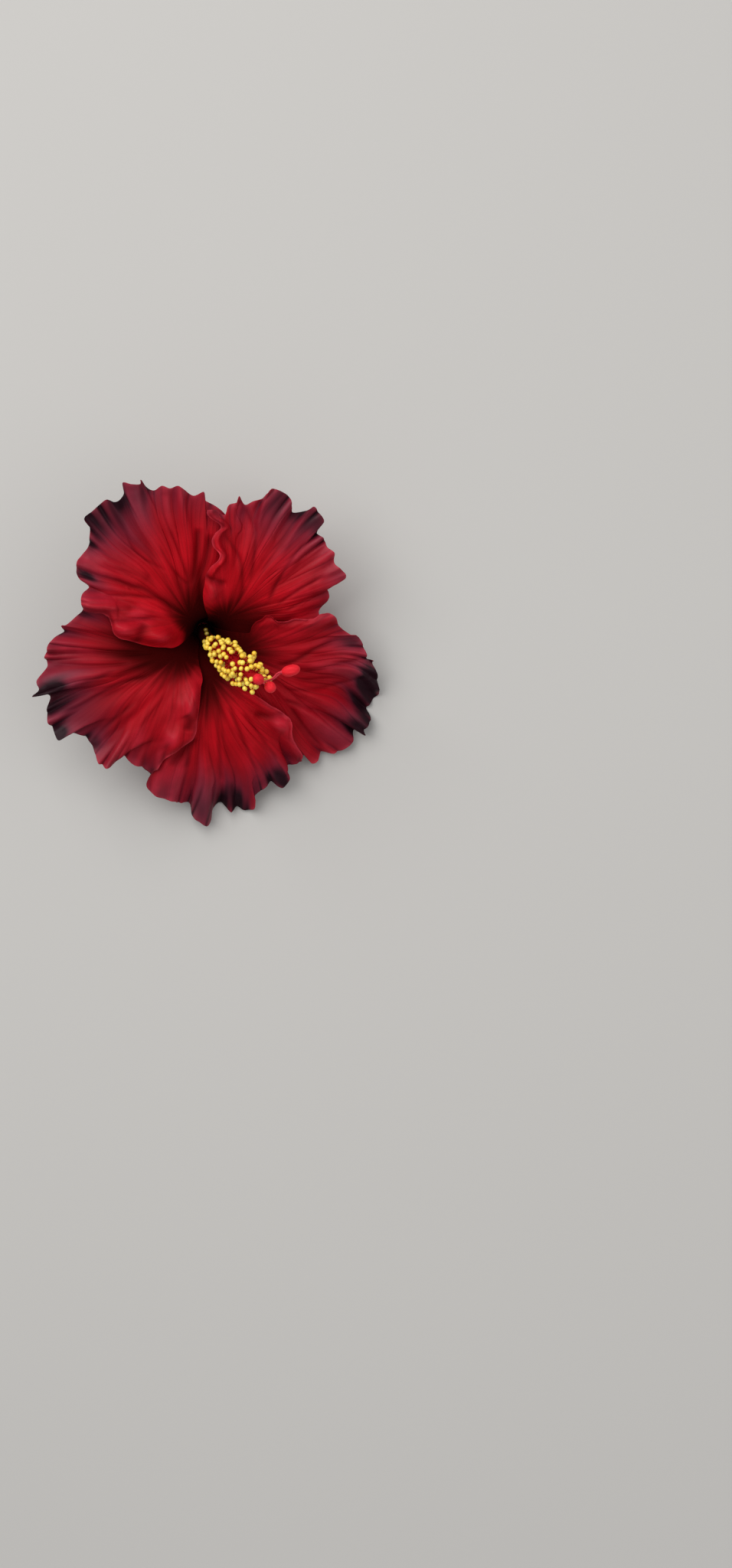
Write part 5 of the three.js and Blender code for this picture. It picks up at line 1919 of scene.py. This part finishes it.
@dataclass(frozen=True)
class Pistil:
    """Ovary, style and five branches, each with an egg-shaped stigma."""

    column: Column
    sight: Sight = Sight()
    tone: float = 0.5
    style_radius: float = 0.5
    style_sides: int = 10
    style_points: int = 40
    style_tail: float = 1.0  # its length below the column
    exposed: float = 1.6  # its length above the column
    branch_radius: float = 0.24
    branch_points: int = 18
    branch_start: float = 0.3  # a branch begins this far below the fork
    branch_sink: float = 0.15  # and ends at this part of its stigma's length
    branch_swell: float = 2.4
    branch_swell_start: Pair = (0.7, 1.0)
    arch: float = 1.0
    approach: float = 1.2
    stigma: float = 1.9
    stigma_mesh: tuple[int, int] = (26, 36)
    bump_height: float = 0.03
    bump_cells: Pair = (24.0, 9.0)  # degrees for one random value, and values along the egg
    bump_shift: float = 40.0  # between two stigmas in the field
    ovary: Triple = (2.1, -4.9, -0.3)  # radius, bottom and top
    ovary_mesh: tuple[int, int] = (16, 20)
    # The ends of each stigma's long axis on the outline plane, with their heights.
    stigmas: tuple[tuple[Triple, Triple], ...] = (
        ((23.6, -9.4, 52), (29.6, -8.1, 53)),
        ((16.4, -11.9, 51.6), (15.9, -11.4, 57)),
        ((19.2, -13.2, 50.6), (20.6, -15, 55.6)),
        ((23.6, -9.5, 48), (28.4, -8.5, 46)),
        ((24, -9.6, 40), (27.6, -8.4, 37)),
    )

    def ends(self) -> list[tuple[Array, Array]]:
        """Both ends of each stigma's axis in the flower's frame."""
        plane = np.array(self.stigmas, float)
        return [(base, tip) for base, tip in self.sight.lift(plane[..., :2], plane[..., 2])]

    def fork(self) -> tuple[Array, Array]:
        """Where the style divides, and the column's direction there."""
        points, tangents, _, _ = self.column.frames(np.array([1.0]))
        return points[0] + tangents[0] * self.exposed, tangents[0]

    def style_skin(self) -> Skin:
        """The style up to its fork, and the branches: each one arches beyond the straight way to
        its stigma and thickens a little into it.

        Returns:
            All of it as one skin.
        """
        fork, ahead = self.fork()
        points, tangents, _, _ = self.column.frames(np.linspace(0, 1, self.style_points))
        low = points[0] - tangents[0] * self.style_tail
        line = np.concatenate([[low], points, [fork]])
        parts = [tube(line, np.full(len(line), self.style_radius), self.style_sides, self.tone)]
        s = np.linspace(0, 1, self.branch_points)
        radii = self.branch_radius * (1 + self.branch_swell * smooth(s, *self.branch_swell_start))
        for base, tip in self.ends():
            near = base - unit(tip - base) * self.approach
            bend = (fork + near) / 2 + ahead * self.arch
            sunk = base + (tip - base) * self.branch_sink
            start = fork - ahead * self.branch_start
            path = Spline((tuple(start), tuple(bend), tuple(near), tuple(sunk)))(s)
            parts.append(tube(path, radii, self.style_sides, self.tone))
        return Skin.joined(parts)

    def stigma_skin(self) -> Skin:
        """The stigmas: eggs with a velvet of small bumps, a random field on their radius.

        Returns:
            All of them as one skin.
        """
        eggs = []
        stations, sides = self.stigma_mesh
        degrees, along = self.bump_cells
        s, radii = egg_radii(stations, self.stigma)
        turn = turns(sides)
        for k, (base, tip) in enumerate(self.ends()):
            line = base + (tip - base) * s[:, None]
            _, first, second = path_frames(line, ASKEW)
            round_it = turn[None, :] / degrees + self.bump_shift * k
            bumps = 1 + self.bump_height * field_noise(round_it, s[:, None] * along, Seed.STIGMA + k)
            out = spokes(first, second, turn) * (radii[:, None] * bumps)[..., None]
            eggs.append(loft(line[:, None] + out, self.tone))
        return Skin.joined(eggs)

    def ovary_skin(self) -> Skin:
        """The ovary, a plump egg at the flower's base.

        Returns:
            The closed egg.
        """
        radius, bottom, top = self.ovary
        stations, sides = self.ovary_mesh
        s, radii = egg_radii(stations, radius, 1.0)
        line = np.stack([0 * s, 0 * s, mix(bottom, top, s)], -1)
        return tube(line, radii, sides, self.tone)

    def build(self, shop: Workshop) -> Pieces:
        """Adds the stigmas, the style with its branches and the ovary, and returns them."""
        return [
            shop.add("stigmas", self.stigma_skin(), Finish.STIGMA, Slot.STYLE, "pistil"),
            shop.add("style_branches", self.style_skin(), Finish.STYLE, Slot.STYLE),
            shop.add("ovary", self.ovary_skin(), Finish.STYLE, Slot.STYLE),
        ]


@dataclass(frozen=True)
class Calyx:
    """A cup whose rim rises to five pointed, ribbed lobes, round the petals' claws."""

    corolla: Corolla = Corolla()
    lobes: int = 5
    lobe_power: float = 0.8
    wall: float = 0.8
    rim_share: float = 0.5  # of the wall's thickness
    clearance: float = 1.75
    notch: float = 4.0
    tip: float = 13.0
    floor: float = -5.2
    floor_radius: float = 3.4
    widening: float = 0.4  # the cup widens from this far below its floor
    foot_inset: float = 0.6
    # Ribs by place in a lobe, 0 in its middle and 1 at its side: place, height share and width.
    ribs: Pairs = ((0, 1, 0.1), (0.55, 0.7, 0.1), (1, 0.8, 0.08))
    rib_height: float = 0.16
    grain_cells: Pair = (3.1, 2.2)
    grain_height: float = 0.05
    throat_shade: Pair = (1.0, 5.0)  # heights between which the inside leaves its painted throat shade
    columns: int = 200
    rows: int = 44

    def radius(self, height: Array) -> Array:
        """The inner face's radius: the funnel's plus a clearance, and the floor's low down.

        Args:
            height: heights in the flower's frame.

        Returns:
            The radius at each.
        """
        _, radii, heights, _ = self.corolla.curve()
        low = self.corolla.funnel[0][1]
        wall = np.interp(np.maximum(height, low), heights, radii) + self.clearance
        return mix(self.floor_radius, wall, smooth(height, self.floor - self.widening, 0))

    def skin(self) -> Skin:
        """The cup: rings from the floor to the lobed rim outside, and back down inside.

        A rim point's height falls from tip to notch with a power of the sine of its distance from
        the lobe's middle. Ribs stand out as bell curves of the same distance.

        Returns:
            The closed cup.
        """
        turn = turns(self.columns)[None, :]
        lobe = np.abs((turn * self.lobes / 360 + 0.5) % 1 - 0.5) * 2
        top = mix(self.tip, self.notch, sin_deg(lobe * 90) ** self.lobe_power)
        s = np.linspace(0, 1, self.rows)[:, None]
        height = mix(self.floor, top, s)
        inner = self.radius(height)
        ribs = sum(share * bell((lobe - place) / width) for place, share, width in self.ribs)
        degrees, along = self.grain_cells
        fine = field_noise(turn / degrees, height / along, Seed.CALYX)
        thick = self.wall * mix(1, self.rim_share, s**3) + self.rib_height * ribs * (1 - s**4)
        thick = thick + self.grain_height * fine
        foot = polar(self.floor_radius - self.foot_inset, turn, self.floor - self.wall)
        outside, inside = polar(inner + thick, turn, height), polar(inner, turn, height)
        skin = loft(np.concatenate([foot, outside, inside[::-1]]))
        ribs = ribs * np.ones_like(s)
        shade = np.concatenate([0 * turn, ribs, ribs])
        skin.values[Mark.TONE_AND_SHADE] = np.r_[shade.ravel(), 0, 0]
        # Painted shade on the inside, deep in the throat.
        dark = 1 - smooth(height, *self.throat_shade)
        throat_shade = np.concatenate([0 * turn, 0 * height, dark[::-1]])
        skin.values[Mark.EYE_AND_SHADE] = np.r_[throat_shade.ravel(), 0, 1]
        return skin

    def build(self, shop: Workshop) -> Pieces:
        """Adds the cup, and returns it."""
        return [shop.add("calyx_cup", self.skin(), Finish.CALYX, Slot.CALYX, "calyx")]


@dataclass(frozen=True)
class Stalk:
    """The cut stub and the whorl of narrow bractlets round its collar."""

    # Radius and height, from the slightly hollow cut face by the swollen collar to the top.
    profile: Pairs = (
        (0.5, -9.86), (1.2, -9.9), (1.42, -10), (1.6, -9.8), (1.6, -8.8), (1.85, -8.2),
        (2.75, -7.4), (2.9, -7.05), (2.75, -6.72), (1.2, -6.6),
    )
    least_radius: float = 0.3
    stub_mesh: tuple[int, int] = (60, 48)
    ribs: int = 8
    rib_height: float = 0.018
    grain_height: float = 0.01
    grain_cells: Pair = (9.0, 0.5)
    tone: float = 0.3
    count: int = 7
    first_turn: float = 0.3  # part of the pitch between bractlets
    path: Pairs = ((1.2, -7.7), (4.6, -7.5), (7.4, -5), (9.2, -0.6), (10.6, 4.2))
    widths: Knots = Knots(((0, 2), (0.4, 1.9), (0.75, 1.3), (1, 0.35)))
    thickness: float = 0.6
    side_share: float = 0.45  # of the thickness, lost at a bractlet's sides
    keel: float = 0.16
    keel_width: float = 0.16
    side_droop: float = 0.1
    keel_lean: Pair = (0.8, 0.3)  # the keel's parts outwards and down
    midrib_width: float = 0.12
    blade_mesh: tuple[int, int] = (60, 13)

    def stub_skin(self) -> Skin:
        """The stub: its profile turned round the axis, with faint ribs and grain on the radius.

        Returns:
            The closed stub.
        """
        rings, sides = self.stub_mesh
        fine = Spline(self.profile)(np.linspace(0, 1, rings))
        turn = turns(sides)[None, :]
        degrees, along = self.grain_cells
        grain = field_noise(turn / degrees, fine[:, 1:] / along, Seed.STALK)
        ribs = 1 + self.rib_height * cos_deg(turn * self.ribs) + self.grain_height * grain
        r = np.maximum(fine[:, :1], self.least_radius) * ribs
        return loft(polar(r, turn, fine[:, 1:]), self.tone)

    def whorl_skin(self) -> Skin:
        """The bractlets: blades along one curve, keeled by a bell curve along the middle and
        drooping with the square of the way to each side, turned round the axis.

        Returns:
            All of them as one skin.
        """
        along, across = self.blade_mesh
        t = np.linspace(0, 1, across)[None, :]
        s = np.linspace(0, 1, along)[:, None]
        line = Spline(self.path).evenly(s[:, 0])
        aside = self.widths(s) * (t - 0.5)
        keel = self.keel * bell((t - 0.5) / self.keel_width) - self.side_droop * (2 * t - 1) ** 2
        outward, down = self.keel_lean
        r, z = line[:, :1] + keel * outward, line[:, 1:] - keel * down
        middle = np.stack([r + 0 * aside, aside, z + 0 * aside], -1)
        flow = np.stack(np.broadcast_arrays(t, s), -1)
        thickness = np.full(middle.shape[:2], self.thickness) * (1 - self.side_share * (2 * t - 1) ** 2)
        tone = {Mark.TONE_AND_SHADE: bell((t - 0.5) / self.midrib_width) * np.ones_like(s)}
        one = blade(middle, thickness, tone, flow)
        whorl = []
        for k in range(self.count):
            turn = 360 * (k + self.first_turn) / self.count
            c, d = cos_deg(turn), sin_deg(turn)
            spun = one.points @ np.array([[c, d, 0], [-d, c, 0], [0, 0, 1]])
            whorl.append(Skin(spun, one.faces, one.values, one.flow))
        return Skin.joined(whorl)

    def build(self, shop: Workshop) -> Pieces:
        """Adds the stub and the bractlets, and returns them."""
        return [
            shop.add("stalk_stub", self.stub_skin(), Finish.STALK, Slot.STALK, "stalk"),
            shop.add("bractlets", self.whorl_skin(), Finish.CALYX, Slot.STALK),
        ]


# ---- the studio ----


@dataclass(frozen=True)
class Studio:
    """A plain pale floor, soft light from the upper left, and the camera."""

    rest: Rest
    sight: Sight = Sight()
    floor_size: float = 12.0
    floor_colour: Colour = (0.53, 0.515, 0.49)
    floor_shade: float = 0.97  # of the colour, in soft clouds
    world_colour: Colour = (0.86, 0.87, 0.9)
    world_strength: float = 0.36
    focal_pixels: float = 3500.0
    frame: Pair = (956.0, 2048.0)
    aim: Pair = (272.0, 840.0)  # the picture's pixel that shows the axis
    sensor: float = 36.0
    near_and_far: Pair = (0.05, 60.0)
    # Each square area light's name, place in metres, side and power in watts.
    lights: tuple[tuple[str, Colour, float, float], ...] = (
        ("key", (-0.36, 0.42, 1.0), 1.2, 12.5),
        ("fill", (0.8, -0.1, 1.2), 1.3, 5.0),
    )

    def add_floor(self) -> None:
        """A square sheet under the flower."""
        half = self.floor_size / 2
        corners = [(-half, -half, 0), (half, -half, 0), (half, half, 0), (-half, half, 0)]
        mesh = bpy.data.meshes.new("floor")
        mesh.from_pydata(corners, [], [(0, 1, 2, 3)])
        material, w, out = shader("Pale floor", {"Specular IOR Level": 0.2, "Roughness": 0.8})
        place = w.add("TexCoord").outputs["Object"]
        noise = w.add("TexNoise", {"Vector": place, "Scale": 3.0, "Detail": 2.0}).outputs[0]
        darker = tuple(c * self.floor_shade for c in self.floor_colour)
        w.put(out.inputs["Base Color"], w.blend(noise, darker, self.floor_colour))
        mesh.materials.append(material)
        floor = new_object("floor", mesh)

    def add_light(self, name: str, place: Sequence[float], size: float, power: float) -> None:
        """A square area light that faces the flower.

        Args:
            name: its name.
            place: where it stands, in metres.
            size: its side.
            power: in watts.
        """
        light = bpy.data.lights.new(name, "AREA")
        light.size = size
        light.energy = power
        lamp = new_object(name, light)
        lamp.location = place
        lamp.rotation_euler = Vector(place).to_track_quat("Z", "Y").to_euler()

    def add_world(self) -> None:
        """An even pale surrounding."""
        world = bpy.data.worlds.new("Pale room")
        world.use_nodes = True
        background = world.node_tree.nodes["Background"]
        background.inputs["Color"].default_value = (*self.world_colour, 1)
        background.inputs["Strength"].default_value = self.world_strength
        bpy.context.scene.world = world

    def add_camera(self) -> None:
        """The camera on the line of sight, turned so that the axis shows at the aimed pixel."""
        width, height = self.frame
        data = bpy.data.cameras.new("camera")
        data.sensor_fit = "VERTICAL"
        data.sensor_height = self.sensor
        data.lens = self.focal_pixels / height * self.sensor
        data.clip_start, data.clip_end = self.near_and_far
        to_eye = Vector((
            (width / 2 - self.aim[0]) / self.focal_pixels,
            (self.aim[1] - height / 2) / self.focal_pixels,
            1,
        )).normalized()
        swing = np.array(to_eye.rotation_difference(Vector((0, 0, 1))).to_matrix())
        turn = self.rest.turn() @ self.sight.frame.T @ swing
        axis_point = np.array([0, 0, self.sight.height])
        eye = self.rest.place(axis_point + self.sight.distance * self.sight.frame[2])
        camera = new_object("camera", data)
        camera.matrix_world = Matrix.Translation(eye.tolist()) @ Matrix(turn.tolist()).to_4x4()
        bpy.context.scene.camera = camera

    def build(self) -> None:
        """Adds all of it, and shows colours as they are."""
        self.add_floor()
        self.add_world()
        for light in self.lights:
            self.add_light(*light)
        self.add_camera()
        bpy.context.scene.view_settings.view_transform = "Standard"


def main() -> None:
    logging.basicConfig(level=logging.INFO, format="%(name)s: %(message)s")
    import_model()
    rest, column = Rest(), Column()
    shop = Workshop(rest)
    for part in (*PETALS, column, Pistil(column), Calyx(), Stalk()):
        for piece in part.build(shop):
            log.info("%s: %d faces", piece.name, len(piece.data.polygons))
    Studio(rest).build()
    log.info("studio: floor, world, lights and camera")


if __name__ == "__main__":
    main()
